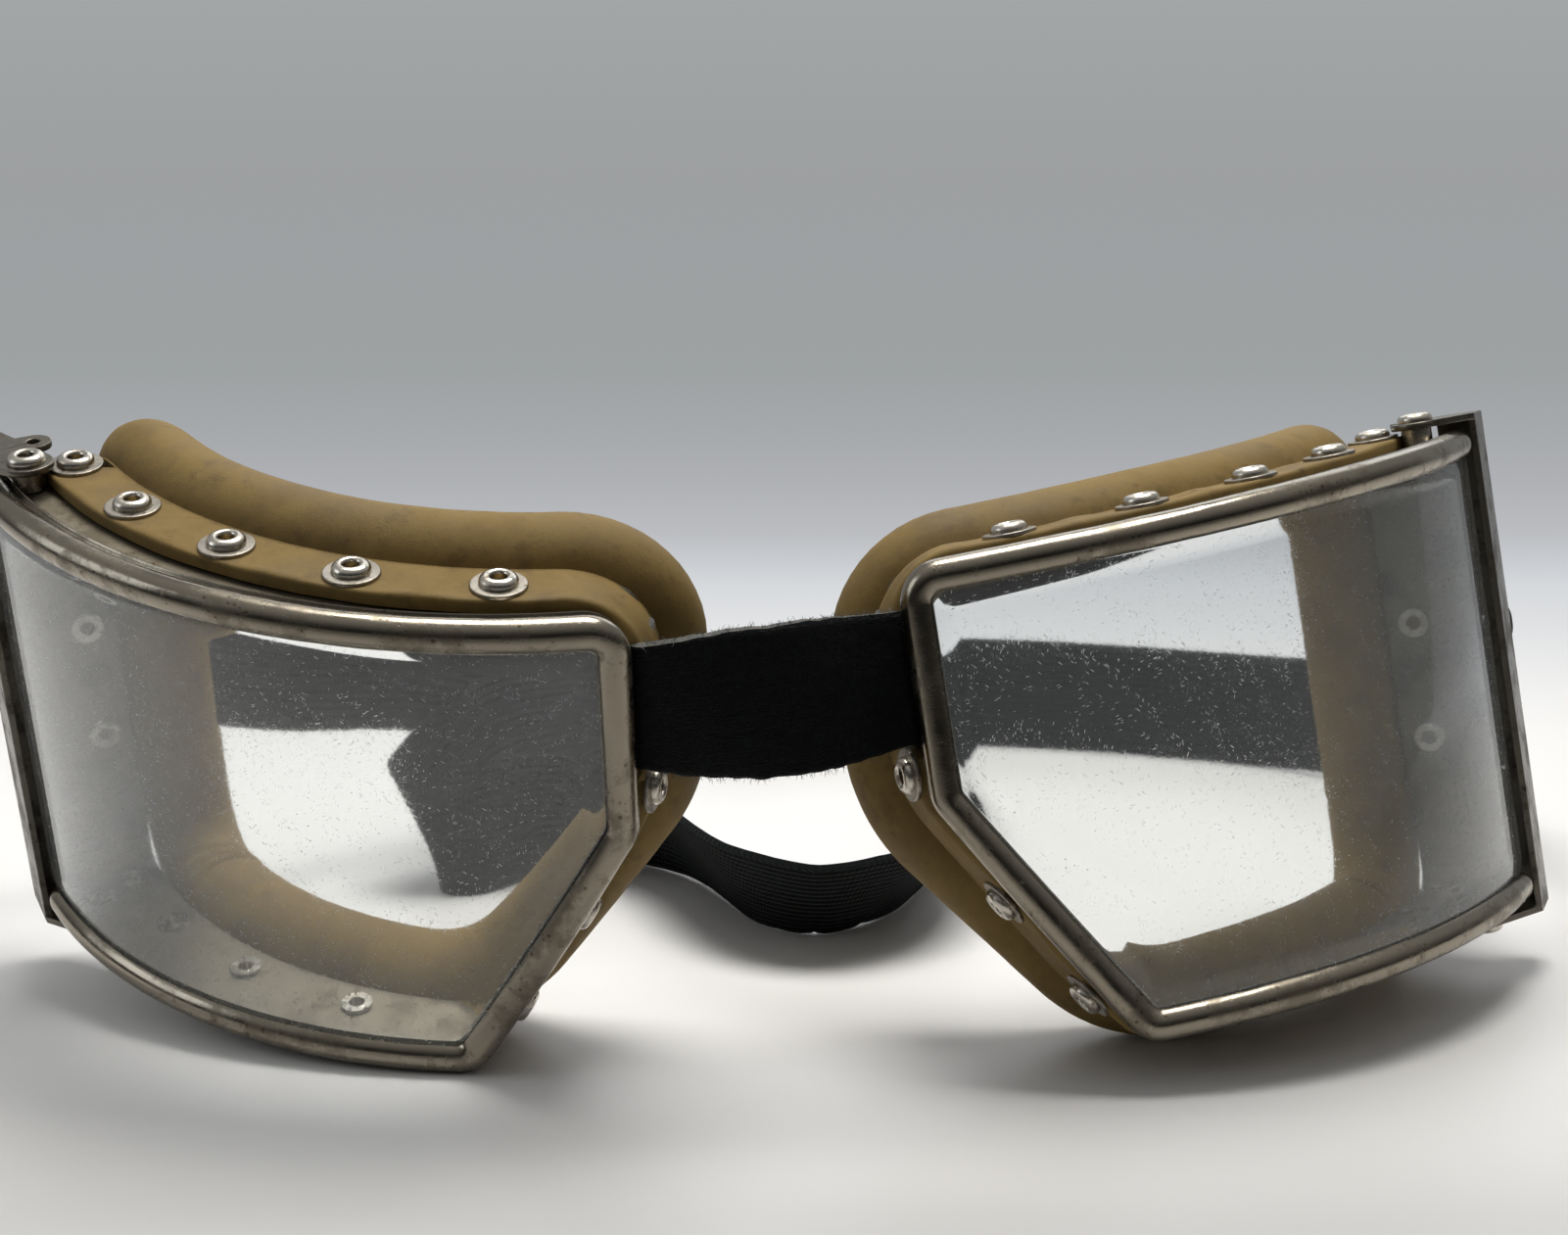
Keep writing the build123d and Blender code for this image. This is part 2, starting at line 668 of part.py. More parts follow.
def make_leather(left_spot, right_spot):
    """The nose strap: a leg riveted on each nose wall, and the span between them, fuller in its middle."""
    seat = wall_out + wall_slot_clearance
    nose = nose_plane(seat + leather_sheet / 2)
    leg_start = nose.origin + nose.x_dir * (leather_leg_front - wall_front)
    span_start = leg_start + Vector(0, leather_sheet / 2, 0)
    z_middle = -leather_top_drop - leather_width / 2
    corners = []
    for location, mirrored in ((left_spot, True), (right_spot, False)):
        origin = table_point(location, mirrored, (span_start.X, span_start.Y, z_middle))
        across = table_direction(location, mirrored, (-1, 0, 0))
        upward = table_direction(location, mirrored, (0, 0, 1))
        corners.append((origin, across, upward))
    (left_origin, left_across, left_up), (right_origin, right_across, right_up) = corners
    middle = (left_origin + right_origin) / 2
    middle_up = (left_up + right_up).normalized()
    middle_along = (right_origin - left_origin).normalized()
    sections = [
        Plane(origin=left_origin, x_dir=left_up, z_dir=left_across),
        Plane(origin=middle, x_dir=middle_up, z_dir=middle_along),
        Plane(origin=right_origin, x_dir=right_up, z_dir=-right_across),
    ]
    widths = (leather_width, leather_width + leather_belly, leather_width)
    with BuildPart() as span:
        for plane, width in zip(sections, widths):
            with BuildSketch(plane):
                Rectangle(width, leather_sheet)
        loft()
    legs = []
    for location, mirrored in ((left_spot, True), (right_spot, False)):
        with BuildPart() as leg:
            leg_length = leather_leg_back - leather_leg_front
            leg_plane = Plane(origin=leg_start, x_dir=nose.x_dir, z_dir=(0, 0, 1))
            with BuildSketch(leg_plane.offset(z_middle - leather_width / 2)):
                with Locations((leg_length / 2, 0)):
                    Rectangle(leg_length, leather_sheet)
            extrude(amount=leather_width)
            with Locations(*rivet_planes(0)):
                Cylinder(bridge_rivet_shank / 2 + hole_clearance, 4 * leather_sheet + 4 * wall_out,
                         mode=Mode.SUBTRACT)
        legs.append(put(leg.part, location, mirrored))
    with BuildPart() as leather:
        add(span.part)
        for leg_part in legs:
            add(leg_part)
    return leather.part


def resting(stations):
    """Fills in the height of each station whose lower edge stands on the table."""
    filled = []
    for (x, y, z), lean in stations:
        upward = Vector(*lean).normalized().Z
        if z is None:
            z = (strap_width * upward + strap_sheet * sqrt(1 - upward**2)) / 2
        filled.append(((x, y, z), lean))
    return filled


def raised(plane):
    """The same cross section, lifted where its lowest corner would be under the table."""
    drop = (strap_width * abs(plane.x_dir.Z) + strap_sheet * abs(plane.y_dir.Z)) / 2
    foot = plane.origin.Z - drop
    return plane if foot > 0 else Plane(plane.origin - Vector(0, 0, foot), plane.x_dir, plane.z_dir)


def ribbon_planes(stations, step_length):
    """Evenly spaced cross-section planes along a smooth route, each with its x towards the upper edge."""
    middles = [Vector(*place) for place, lean in stations]
    leans = [Vector(*lean).normalized() for place, lean in stations]
    with BuildLine() as route:
        Spline(*middles)
    spine = route.edge()
    walked = [0.0]
    for before, after in zip(middles, middles[1:]):
        walked.append(walked[-1] + (after - before).length)
    marks = [distance / walked[-1] for distance in walked]
    count = round(spine.length / step_length)
    planes = []
    for step in range(count + 1):
        share = step / count
        after = next((i for i, mark in enumerate(marks) if mark > share), len(marks) - 1)
        before = after - 1
        mix = (share - marks[before]) / (marks[after] - marks[before])
        lean = leans[before] * (1 - mix) + leans[after] * mix
        along = spine.tangent_at(share)
        across = along.cross(lean).normalized()
        upper = across.cross(along).normalized()
        planes.append(Plane(origin=spine.position_at(share), x_dir=upper, z_dir=along))
    lead_in = middles[1] - middles[0]
    lead_out = middles[-1] - middles[-2]
    planes[0] = Plane(origin=middles[0], x_dir=leans[0], z_dir=lead_in)
    planes[-1] = Plane(origin=middles[-1], x_dir=leans[-1], z_dir=lead_out)
    print("webbing length", round(spine.length, 1))
    return [raised(plane) for plane in planes]


def make_ribbon(planes):
    """The webbing through its cross sections, in stretches that each turn less than a right angle."""
    stretches = [[planes[0]]]
    for plane in planes[1:]:
        stretches[-1].append(plane)
        if stretches[-1][0].z_dir.get_angle(plane.z_dir) > stretch_turn:
            stretches.append([plane])
    lengths = []
    for stretch in stretches:
        with BuildPart() as length:
            for plane in stretch:
                with BuildSketch(plane):
                    Rectangle(strap_width, strap_sheet)
            loft(ruled=True)
        lengths.append(length.part)
    with BuildPart() as band:
        for length_part in lengths:
            add(length_part)
    return band.part


def lap_stations(planes):
    """Stations against the strap's near face, where the tail is sewn on at a slant."""
    stations = []
    for share, drop in zip(tail_lap_shares, tail_lap_drops):
        plane = planes[round(share * (len(planes) - 1))]
        near = plane.y_dir if plane.y_dir.Y < 0 else plane.y_dir * -1
        middle = plane.origin + near * (strap_sheet + tail_lap_gap) - plane.x_dir * drop
        lean = plane.x_dir
        stations.append(((middle.X, middle.Y, middle.Z), (lean.X, lean.Y, lean.Z)))
    return stations


def loop_stations(location, mirrored, distances):
    """Stations straight out behind a strap gate, at these distances past its sewn loop."""
    strip_front = gate_slot_front + gate_slot_width
    depth = (strip_front + gate_web_back) / 2
    start = gate_web_offset + gate_sheet + loop_tail + loop_end_gap
    up = table_direction(location, mirrored, (0, 0, 1))
    stations = []
    for distance in distances:
        local = upright.from_local_coords(Vector(start + distance, depth, -gate_slot_drop))
        point = table_point(location, mirrored, (local.X, local.Y, local.Z))
        stations.append(((point.X, point.Y, point.Z), (up.X, up.Y, up.Z)))
    return stations


eyepiece = {
    "rim": make_rim(),
    "side_wall": make_wall(),
    "lens": make_lens(),
    "face_cushion": make_cushion(),
    "cushion_eyelets": make_cushion_eyelets(),
    "cushion_washers": make_washers(),
    "gate_eyelets": make_gate_eyelets(),
    "strap_gate": make_gate(),
    "strap_loop": make_strap_loop(),
    "bridge_rivets": make_bridge_rivets(),
}
standing = [eyepiece["rim"], eyepiece["face_cushion"]]
left_spot = stand(left_tilt, left_place, True, standing)
right_spot = stand(right_tilt, right_place, False, standing)

pieces = {}
for part_name, body in eyepiece.items():
    pieces["left_" + part_name] = put(body, left_spot, True)
    pieces["right_" + part_name] = put(body, right_spot, False)
pieces["nose_leather"] = make_leather(left_spot, right_spot)
left_start = loop_stations(left_spot, True, (0, loop_lead / 2, loop_lead))
right_start = loop_stations(right_spot, False, (0, loop_lead / 2, loop_lead))
head_stations = left_start + resting(strap_route) + right_start[::-1]
head_planes = ribbon_planes(head_stations, strap_step)
pieces["head_strap"] = make_ribbon(head_planes)
tail_stations = lap_stations(head_planes) + resting(tail_route)
pieces["strap_tail"] = make_ribbon(ribbon_planes(tail_stations, tail_step))

# The origin is under the middle of the whole, on the table
boxes = [body.bounding_box() for body in pieces.values()]
centre_x = (min(box.min.X for box in boxes) + max(box.max.X for box in boxes)) / 2
centre_y = (min(box.min.Y for box in boxes) + max(box.max.Y for box in boxes)) / 2
floor_z = min(box.min.Z for box in boxes)
shift = Location((-centre_x, -centre_y, -floor_z))
print("shift", [round(value, 3) for value in (-centre_x, -centre_y, -floor_z)])

os.makedirs("parts", exist_ok=True)
for part_name, body in pieces.items():
    with BuildPart() as piece:
        with Locations(shift):
            add(body)
    piece.part.label = part_name
    export_step(piece.part, "parts/" + part_name + ".step")

# Where things stand, for the record of joints
hinge_left = table_point(left_spot, True, (0, 0, -nose_bar_height / 2))
hinge_right = table_point(right_spot, False, (0, 0, -nose_bar_height / 2))
hinge = (hinge_left + hinge_right) / 2 + shift.position
print("bridge hinge", [round(value, 3) for value in hinge])
for side, spot, mirrored in (("left", left_spot, True), ("right", right_spot, False)):
    local = pivot_axis_point(-eye_height / 2)
    point = table_point(spot, mirrored, (local.X, local.Y, local.Z)) + shift.position
    axis = table_direction(spot, mirrored, (0, 0, 1))
    origin = (shift * spot).position
    print(side, "gate hinge", [round(value, 3) for value in point], "axis", [round(v, 5) for v in axis])
    print(side, "eyepiece origin", [round(value, 3) for value in origin])
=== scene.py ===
import math

import bmesh
import bpy
import numpy as np
from mathutils import Matrix, Vector, noise


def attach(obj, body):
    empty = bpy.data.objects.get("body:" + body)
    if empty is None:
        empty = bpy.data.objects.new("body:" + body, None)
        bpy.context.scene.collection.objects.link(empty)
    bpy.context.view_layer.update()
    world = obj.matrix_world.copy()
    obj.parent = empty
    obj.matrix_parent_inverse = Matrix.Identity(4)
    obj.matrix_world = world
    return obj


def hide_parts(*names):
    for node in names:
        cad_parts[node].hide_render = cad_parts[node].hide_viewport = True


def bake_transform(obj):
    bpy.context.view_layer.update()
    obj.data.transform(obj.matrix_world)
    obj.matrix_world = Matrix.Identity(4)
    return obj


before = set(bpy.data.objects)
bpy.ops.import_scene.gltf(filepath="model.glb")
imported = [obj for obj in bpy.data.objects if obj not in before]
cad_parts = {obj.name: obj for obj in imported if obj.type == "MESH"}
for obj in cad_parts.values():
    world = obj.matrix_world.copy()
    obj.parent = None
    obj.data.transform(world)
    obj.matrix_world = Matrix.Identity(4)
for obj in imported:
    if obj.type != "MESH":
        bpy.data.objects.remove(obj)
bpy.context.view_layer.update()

# Flying goggles on a table. The shape tables below are in millimetres, as the maker would measure them.
# Each eyepiece is drawn in its own frame, as the right one: the origin is the inner top corner of the
# rim's centre line, x runs outward, y back towards the face and z up. The left one is its mirror image.
MM = 0.001
draws = np.random.default_rng(11)

LENS_RADIUS = 65.3
LENS_ARC = 87.3
EYE_HEIGHT = 52.0
NOSE_BAR = 24.0
NOSE_CUT = 18.0
END_TURN = LENS_ARC / LENS_RADIUS
CUT_NORMAL = Vector((NOSE_BAR - EYE_HEIGHT, 0, -NOSE_CUT)).normalized()
CUT_BACK = LENS_RADIUS * (1 - math.cos(math.asin(NOSE_CUT / LENS_RADIUS)))
END_POINT = np.array([LENS_RADIUS * math.sin(END_TURN), LENS_RADIUS * (1 - math.cos(END_TURN)), 0])
END_OUT = np.array([math.cos(END_TURN), math.sin(END_TURN), 0])
END_IN = np.array([-math.sin(END_TURN), math.cos(END_TURN), 0])
CUSHION_LEAN = 3.4

# Behind the rim the nose side and the slanting cut spread outward towards the face
NOSE_FLARE, CUT_FLARE, WALL_FRONT = math.radians(27.8), math.radians(21.8), 1.3
NOSE_OUT = np.array([-math.cos(NOSE_FLARE), -math.sin(NOSE_FLARE), 0])
NOSE_BACK = np.array([-math.sin(NOSE_FLARE), math.cos(NOSE_FLARE), 0])
CUT_RUN = np.array([NOSE_CUT, CUT_BACK, NOSE_BAR - EYE_HEIGHT])
CUT_SQUARE = np.cross(CUT_RUN / np.linalg.norm(CUT_RUN), np.array(CUT_NORMAL))
CUT_OUT = np.array(CUT_NORMAL) * math.cos(CUT_FLARE) - CUT_SQUARE * math.sin(CUT_FLARE)
CUT_AWAY = CUT_SQUARE * math.cos(CUT_FLARE) + np.array(CUT_NORMAL) * math.sin(CUT_FLARE)

TILTS = {"left": (15.13, -0.77, 14.36), "right": (-8.02, -9.06, -10.2)}
ORIGINS = {"left": (-20.353, -74.697, 52.939), "right": (11.197, -60.327, 55.347)}
TABLE_SHIFT = np.array([-2.773, -58.957, 0.0])
SIDES = ("left", "right")


# The camera and the stage

FOCAL_PIXELS = 2400
FRAME_WIDTH, FRAME_HEIGHT = 1601, 1261
SENSOR_WIDTH = 36.0
CAMERA_PLACE = Vector((-2.772, -308.957, 104.1))
CAMERA_DIP = 12.0


def make_camera():
    lens = bpy.data.cameras.new("camera")
    lens.sensor_width = SENSOR_WIDTH
    lens.lens = SENSOR_WIDTH * FOCAL_PIXELS / FRAME_WIDTH
    camera = bpy.data.objects.new("camera", lens)
    camera.location = CAMERA_PLACE * MM
    camera.rotation_euler = (math.radians(90 - CAMERA_DIP), 0, 0)
    bpy.context.scene.collection.objects.link(camera)
    bpy.context.scene.camera = camera


def colour(red, green, blue):
    """A colour from its 0 to 255 values as seen on a screen."""
    seen = [v / 255 for v in (red, green, blue)]
    linear = [v / 12.92 if v <= 0.04045 else ((v + 0.055) / 1.055) ** 2.4 for v in seen]
    return (*linear, 1.0)


def wire(tree, kind, feeds=None, **settings):
    """Adds a node, sets it up, and feeds its sockets from plain values or other nodes' sockets."""
    made = tree.nodes.new(kind)
    for key, value in settings.items():
        setattr(made, key, value)
    for key, value in (feeds or {}).items():
        if isinstance(value, bpy.types.NodeSocket):
            tree.links.new(value, made.inputs[key])
        else:
            made.inputs[key].default_value = value
    return made


def sums(tree, operation, first, second, clamp=False):
    made = wire(tree, "ShaderNodeMath", {0: first, 1: second}, operation=operation, use_clamp=clamp)
    return made.outputs[0]


def times(tree, first, second):
    return sums(tree, "MULTIPLY", first, second)


def between(tree, value, low, high, to_low=0.0, to_high=1.0):
    feeds = {"Value": value, "From Min": low, "From Max": high, "To Min": to_low, "To Max": to_high}
    return wire(tree, "ShaderNodeMapRange", feeds, interpolation_type="SMOOTHSTEP").outputs["Result"]


def mixed(tree, share, first, second, blend_type="MIX"):
    feeds = {0: share, 6: first, 7: second}
    return wire(tree, "ShaderNodeMix", feeds, data_type="RGBA", blend_type=blend_type).outputs[2]


def stained(tree, body, mask, share, shade):
    """The body's colour with a shade laid over it where the mask is, at this share of its strength."""
    return mixed(tree, times(tree, mask, share), body, shade)


def ramp(tree, value, stops):
    made = wire(tree, "ShaderNodeValToRGB", {"Fac": value})
    points = made.color_ramp.elements
    while len(points) < len(stops):
        points.new(0.5)
    for point, (place, shade) in zip(points, stops):
        point.position = place
        point.color = shade
    return made.outputs["Color"]


def ramp_along(tree, value, stops):
    """A ramp whose stops stand at values of their own, in rising order."""
    low, high = stops[0][0], stops[-1][0]
    share = wire(tree, "ShaderNodeMapRange", {"Value": value, "From Min": low, "From Max": high})
    return ramp(tree, share.outputs["Result"], [((place - low) / (high - low), v) for place, v in stops])


def grey(value):
    return (value, value, value, 1.0)


# The stage is a table that sweeps up into a backdrop behind the goggles. Its sizes are in metres.
TABLE_NEAR, TABLE_FAR = -1.2, 0.34
SWEEP_RADIUS, SWEEP_TOP = 0.30, 1.6
STAGE_HALF_WIDTH = 1.8
FLAT_STEPS, TURN_STEPS, WALL_STEPS = 420, 40, 20
# The backdrop's glowing colour, painted light, and the table's painted shade, by the picture row in which the
# camera sees that place
BACKDROP_GLOW_ROWS = ((20, (163, 166, 167)), (200, (157, 159, 161)), (380, (158, 162, 163)),
                 (480, (171, 173, 177)), (545, (187, 189, 193)), (600, (211, 214, 218)))
TABLE_SHADE_ROWS = ((1255, 0.68), (1180, 0.80), (1090, 0.93), (1000, 1.0), (880, 1.0), (760, 0.98))
# Nearer than DARK_FRONT, out of the camera's sight, the table is painted this dark shade, seen in
# reflections.
# The backdrop fades in from before to past its lowest row, and these two are shares of the stage's run.
DARK_FRONT, PAINTED_FRONT_SHADE = -0.20, 0.30
FADE_START, FADE_STOP = -0.055, 0.012


def stage_profile():
    flat = [(y, 0.0) for y in np.linspace(TABLE_NEAR, TABLE_FAR, FLAT_STEPS)]
    turn = np.linspace(0, math.pi / 2, TURN_STEPS)[1:]
    bend = [(TABLE_FAR + SWEEP_RADIUS * math.sin(t), SWEEP_RADIUS * (1 - math.cos(t))) for t in turn]
    wall = [(TABLE_FAR + SWEEP_RADIUS, z) for z in np.linspace(SWEEP_RADIUS, SWEEP_TOP, WALL_STEPS)[1:]]
    return np.array(flat + bend + wall)


def mark_of_row(row, profile, marks):
    """How far along the stage's profile the camera sees this row of the picture, in its middle."""
    dip = math.radians(CAMERA_DIP) + math.atan((row - FRAME_HEIGHT / 2) / FOCAL_PIXELS)
    eye = np.array([CAMERA_PLACE.y, CAMERA_PLACE.z]) * MM
    below = (profile[:, 1] - eye[1]) * math.cos(dip) + (profile[:, 0] - eye[0]) * math.sin(dip)
    ahead = np.where((profile[:, 0] > eye[0]) & (below >= 0))[0]
    return marks[ahead[0]]


def table_finish(profile, marks):
    """A pale table painted darker towards the front as painted shade, and a backdrop that glows with painted
    light for what sees it.
    """
    finish = bpy.data.materials.new("pale_table")
    finish.use_nodes = True
    tree = finish.node_tree
    tree.nodes.clear()
    coords = wire(tree, "ShaderNodeTexCoord")
    run = wire(tree, "ShaderNodeSeparateXYZ", {0: coords.outputs["UV"]}).outputs["Y"]
    shades = [(mark_of_row(row, profile, marks), colour(*shade)) for row, shade in BACKDROP_GLOW_ROWS][::-1]
    # Painted light: the backdrop glows in these colours, paler towards its foot, for camera, glossy and
    # transmission rays
    glow = wire(tree, "ShaderNodeEmission", {"Color": ramp_along(tree, run, shades), "Strength": 1.0})
    cloud = wire(tree, "ShaderNodeTexNoise", {"Vector": coords.outputs["Object"], "Scale": 5.0,
                                              "Detail": 3.0})
    pale = mixed(tree, cloud.outputs["Fac"], colour(232, 231, 230), colour(238, 236, 233))
    # Painted shade: the table's colour darkens towards the front, down to the dark shade nearest of all
    dark_end = float(np.interp(DARK_FRONT, profile[:FLAT_STEPS, 0], marks[:FLAT_STEPS]))
    table_shade = [(dark_end, grey(PAINTED_FRONT_SHADE))]
    table_shade += [(mark_of_row(row, profile, marks), grey(tone)) for row, tone in TABLE_SHADE_ROWS]
    pale = mixed(tree, 1.0, pale, ramp_along(tree, run, table_shade), "MULTIPLY")
    table = wire(tree, "ShaderNodeBsdfPrincipled", {"Base Color": pale, "Roughness": 0.42,
                                                    "Specular IOR Level": 0.35})
    seen = wire(tree, "ShaderNodeLightPath")
    rays = sums(tree, "ADD", seen.outputs["Is Camera Ray"], seen.outputs["Is Glossy Ray"])
    rays = sums(tree, "ADD", rays, seen.outputs["Is Transmission Ray"], clamp=True)
    fade = between(tree, run, shades[0][0] + FADE_START, shades[0][0] + FADE_STOP)
    both = wire(tree, "ShaderNodeMixShader", {0: times(tree, fade, rays), 1: table.outputs[0],
                                              2: glow.outputs[0]})
    wire(tree, "ShaderNodeOutputMaterial", {"Surface": both.outputs[0]})
    return finish


def make_stage():
    profile = stage_profile()
    walked = walk(profile)
    marks = walked / walked[-1]
    points, places = [], []
    for (y, z), mark in zip(profile, marks):
        points += [(-STAGE_HALF_WIDTH, y, z), (STAGE_HALF_WIDTH, y, z)]
        places += [(0, mark), (1, mark)]
    faces = [(2 * i, 2 * i + 1, 2 * i + 3, 2 * i + 2) for i in range(len(profile) - 1)]
    mesh = bpy.data.meshes.new("table_and_backdrop")
    mesh.from_pydata(points, [], faces)
    layer = mesh.uv_layers.new(name="run")
    for loop in mesh.loops:
        layer.data[loop.index].uv = places[loop.vertex_index]
    mesh.shade_smooth()
    mesh.materials.append(table_finish(profile, marks))
    stage = bpy.data.objects.new("table_and_backdrop", mesh)
    bpy.context.scene.collection.objects.link(stage)


LAMPS = (
    # name, place, aimed at, width and height in metres, watts, tint
    ("sky_panel", (0.02, 0.06, 0.56), (0.0, -0.03, 0.0), 0.36, 0.26, 3.3, (1.0, 0.985, 0.955)),
    ("back_panel", (0.10, 0.50, 0.42), (0.0, 0.0, 0.03), 0.60, 0.30, 0.9, (0.93, 0.96, 1.0)),
    ("left_fill", (-0.60, -0.15, 0.30), (0.0, -0.03, 0.03), 0.30, 0.30, 0.55, (0.86, 0.93, 1.0)),
)
# The room's shade in reflections, from below to above, and the shade that the camera sees of it
ROOM_SHADES = ((0.0, 0.02), (0.42, 0.02), (0.52, 0.06), (0.66, 0.20), (0.85, 0.42), (1.0, 0.50))
ROOM_SEEN = (165, 168, 170)
BRIGHT_WAY = (0.0, 0.30, 0.95)


def make_light():
    for name, place, aim, width, height, watts, tint in LAMPS:
        lamp = bpy.data.lights.new(name, "AREA")
        lamp.shape = "RECTANGLE"
        lamp.size, lamp.size_y, lamp.energy, lamp.color = width, height, watts, tint
        holder = bpy.data.objects.new(name, lamp)
        holder.location = place
        holder.rotation_euler = (Vector(aim) - Vector(place)).to_track_quat("-Z", "Y").to_euler()
        bpy.context.scene.collection.objects.link(holder)
    room = bpy.data.worlds.new("room")
    bpy.context.scene.world = room
    room.use_nodes = True
    tree = room.node_tree
    tree.nodes.clear()
    way = wire(tree, "ShaderNodeTexCoord").outputs["Generated"]
    rise = wire(tree, "ShaderNodeVectorMath", {0: way, 1: BRIGHT_WAY}, operation="DOT_PRODUCT")
    height = wire(tree, "ShaderNodeMapRange", {"Value": rise.outputs["Value"], "From Min": -1.0})
    shade = ramp(tree, height.outputs["Result"], [(place, grey(v)) for place, v in ROOM_SHADES])
    seen = wire(tree, "ShaderNodeLightPath")
    direct = sums(tree, "ADD", seen.outputs["Is Camera Ray"], seen.outputs["Is Transmission Ray"],
                  clamp=True)
    shade = mixed(tree, direct, shade, colour(*ROOM_SEEN))
    ground = wire(tree, "ShaderNodeBackground", {"Color": shade, "Strength": 1.0})
    wire(tree, "ShaderNodeOutputWorld", {"Surface": ground.outputs[0]})
    view = bpy.context.scene.view_settings
    view.view_transform = "Standard"


# Effects that several finishes share

def new_group(name, takes, gives):
    group = bpy.data.node_groups.new(name, "ShaderNodeTree")
    for label, kind, start in takes:
        socket = group.interface.new_socket(label, in_out="INPUT", socket_type=kind)
        if start is not None:
            socket.default_value = start
    for label, kind in gives:
        group.interface.new_socket(label, in_out="OUTPUT", socket_type=kind)
    return group, group.nodes.new("NodeGroupInput").outputs, group.nodes.new("NodeGroupOutput").inputs


def give(group, outputs, **made):
    for label, socket in made.items():
        group.links.new(socket, outputs[label.replace("_", " ")])


def patches_group():
    """Cloudy patches and small pits, as tarnish, rust and rubbed places have."""
    takes = (("Coords", "NodeSocketVector", None), ("Patch Scale", "NodeSocketFloat", 120.0),
             ("Pit Scale", "NodeSocketFloat", 1500.0), ("Cover", "NodeSocketFloat", 0.5),
             ("Pit Size", "NodeSocketFloat", 0.36), ("Softness", "NodeSocketFloat", 0.34))
    gives = (("Patches", "NodeSocketFloat"), ("Pits", "NodeSocketFloat"), ("Cloud", "NodeSocketFloat"))
    group, given, outputs = new_group("tarnish_patches", takes, gives)
    coarse = wire(group, "ShaderNodeTexNoise", {"Vector": given["Coords"], "Scale": given["Patch Scale"],
                                                "Detail": 8.0, "Roughness": 0.68})
    low = sums(group, "SUBTRACT", 1.02, given["Cover"])
    high = sums(group, "ADD", low, given["Softness"])
    stretched = between(group, coarse.outputs["Fac"], 0.28, 0.72)
    patches = between(group, stretched, low, high)
    dots = wire(group, "ShaderNodeTexVoronoi", {"Vector": given["Coords"], "Scale": given["Pit Scale"],
                                                "Randomness": 1.0})
    sizes = wire(group, "ShaderNodeSeparateColor", {0: dots.outputs["Color"]}).outputs[0]
    limit = between(group, sizes, 0.55, 1.0, 0.0, given["Pit Size"])
    pits = wire(group, "ShaderNodeMath", {0: dots.outputs["Distance"], 1: limit}, operation="LESS_THAN")
    give(group, outputs, Patches=patches, Pits=pits.outputs[0], Cloud=coarse.outputs["Fac"])
    return group


def grain_group():
    """A fine surface relief from two sizes of noise, stretched along one way where asked."""
    takes = (("Coords", "NodeSocketVector", None), ("Scale", "NodeSocketFloat", 900.0),
             ("Stretch", "NodeSocketVector", (1.0, 1.0, 1.0)), ("Fine Share", "NodeSocketFloat", 0.4))
    gives = (("Height", "NodeSocketFloat"), ("Fine", "NodeSocketFloat"))
    group, given, outputs = new_group("fine_grain", takes, gives)
    drawn = wire(group, "ShaderNodeVectorMath", {0: given["Coords"], 1: given["Stretch"]},
                 operation="MULTIPLY")
    broad = wire(group, "ShaderNodeTexNoise", {"Vector": drawn.outputs[0], "Scale": given["Scale"],
                                               "Detail": 4.0, "Roughness": 0.6})
    fine_scale = times(group, given["Scale"], 4.3)
    fine = wire(group, "ShaderNodeTexNoise", {"Vector": drawn.outputs[0], "Scale": fine_scale, "Detail": 2.0})
    both = wire(group, "ShaderNodeMix", {0: given["Fine Share"], 2: broad.outputs["Fac"],
                                         3: fine.outputs["Fac"]}, data_type="FLOAT")
    give(group, outputs, Height=both.outputs[0], Fine=fine.outputs["Fac"])
    return group


def lint_group():
    """Short hair scratches and lint: thin streaks in three directions, broken up by noise."""
    takes = (("Coords", "NodeSocketVector", None), ("Scale", "NodeSocketFloat", 1.0),
             ("Amount", "NodeSocketFloat", 0.5))
    group, given, outputs = new_group("lint_and_hairs", takes, (("Mask", "NodeSocketFloat"),))
    total = None
    for turn, across in ((0.35, 430.0), (1.45, 520.0), (2.5, 380.0)):
        turned = wire(group, "ShaderNodeVectorRotate", {"Vector": given["Coords"], "Angle": turn},
                      rotation_type="Y_AXIS")
        bent = wire(group, "ShaderNodeVectorMath", {0: turned.outputs[0], 1: (across, across, 7 * across)},
                    operation="MULTIPLY")
        streak = wire(group, "ShaderNodeTexVoronoi", {"Vector": bent.outputs[0], "Scale": given["Scale"]})
        kept = wire(group, "ShaderNodeSeparateColor", {0: streak.outputs["Color"]}).outputs[1]
        rare = between(group, kept, sums(group, "SUBTRACT", 1.0, given["Amount"]), 1.0)
        thin = between(group, streak.outputs["Distance"], 0.10, 0.24, 1.0, 0.0)
        mask = times(group, rare, thin)
        total = mask if total is None else sums(group, "MAXIMUM", total, mask)
    give(group, outputs, Mask=total)
    return group


def start_finish(name):
    finish = bpy.data.materials.new(name)
    finish.use_nodes = True
    tree = finish.node_tree
    tree.nodes.clear()
    coords = wire(tree, "ShaderNodeTexCoord")
    shader = wire(tree, "ShaderNodeBsdfPrincipled")
    wire(tree, "ShaderNodeOutputMaterial", {"Surface": shader.outputs[0]})
    return finish, tree, coords, shader


def feed(tree, shader, **sockets):
    for label, value in sockets.items():
        socket = shader.inputs[label.replace("_", " ")]
        if isinstance(value, bpy.types.NodeSocket):
            tree.links.new(value, socket)
        else:
            socket.default_value = value


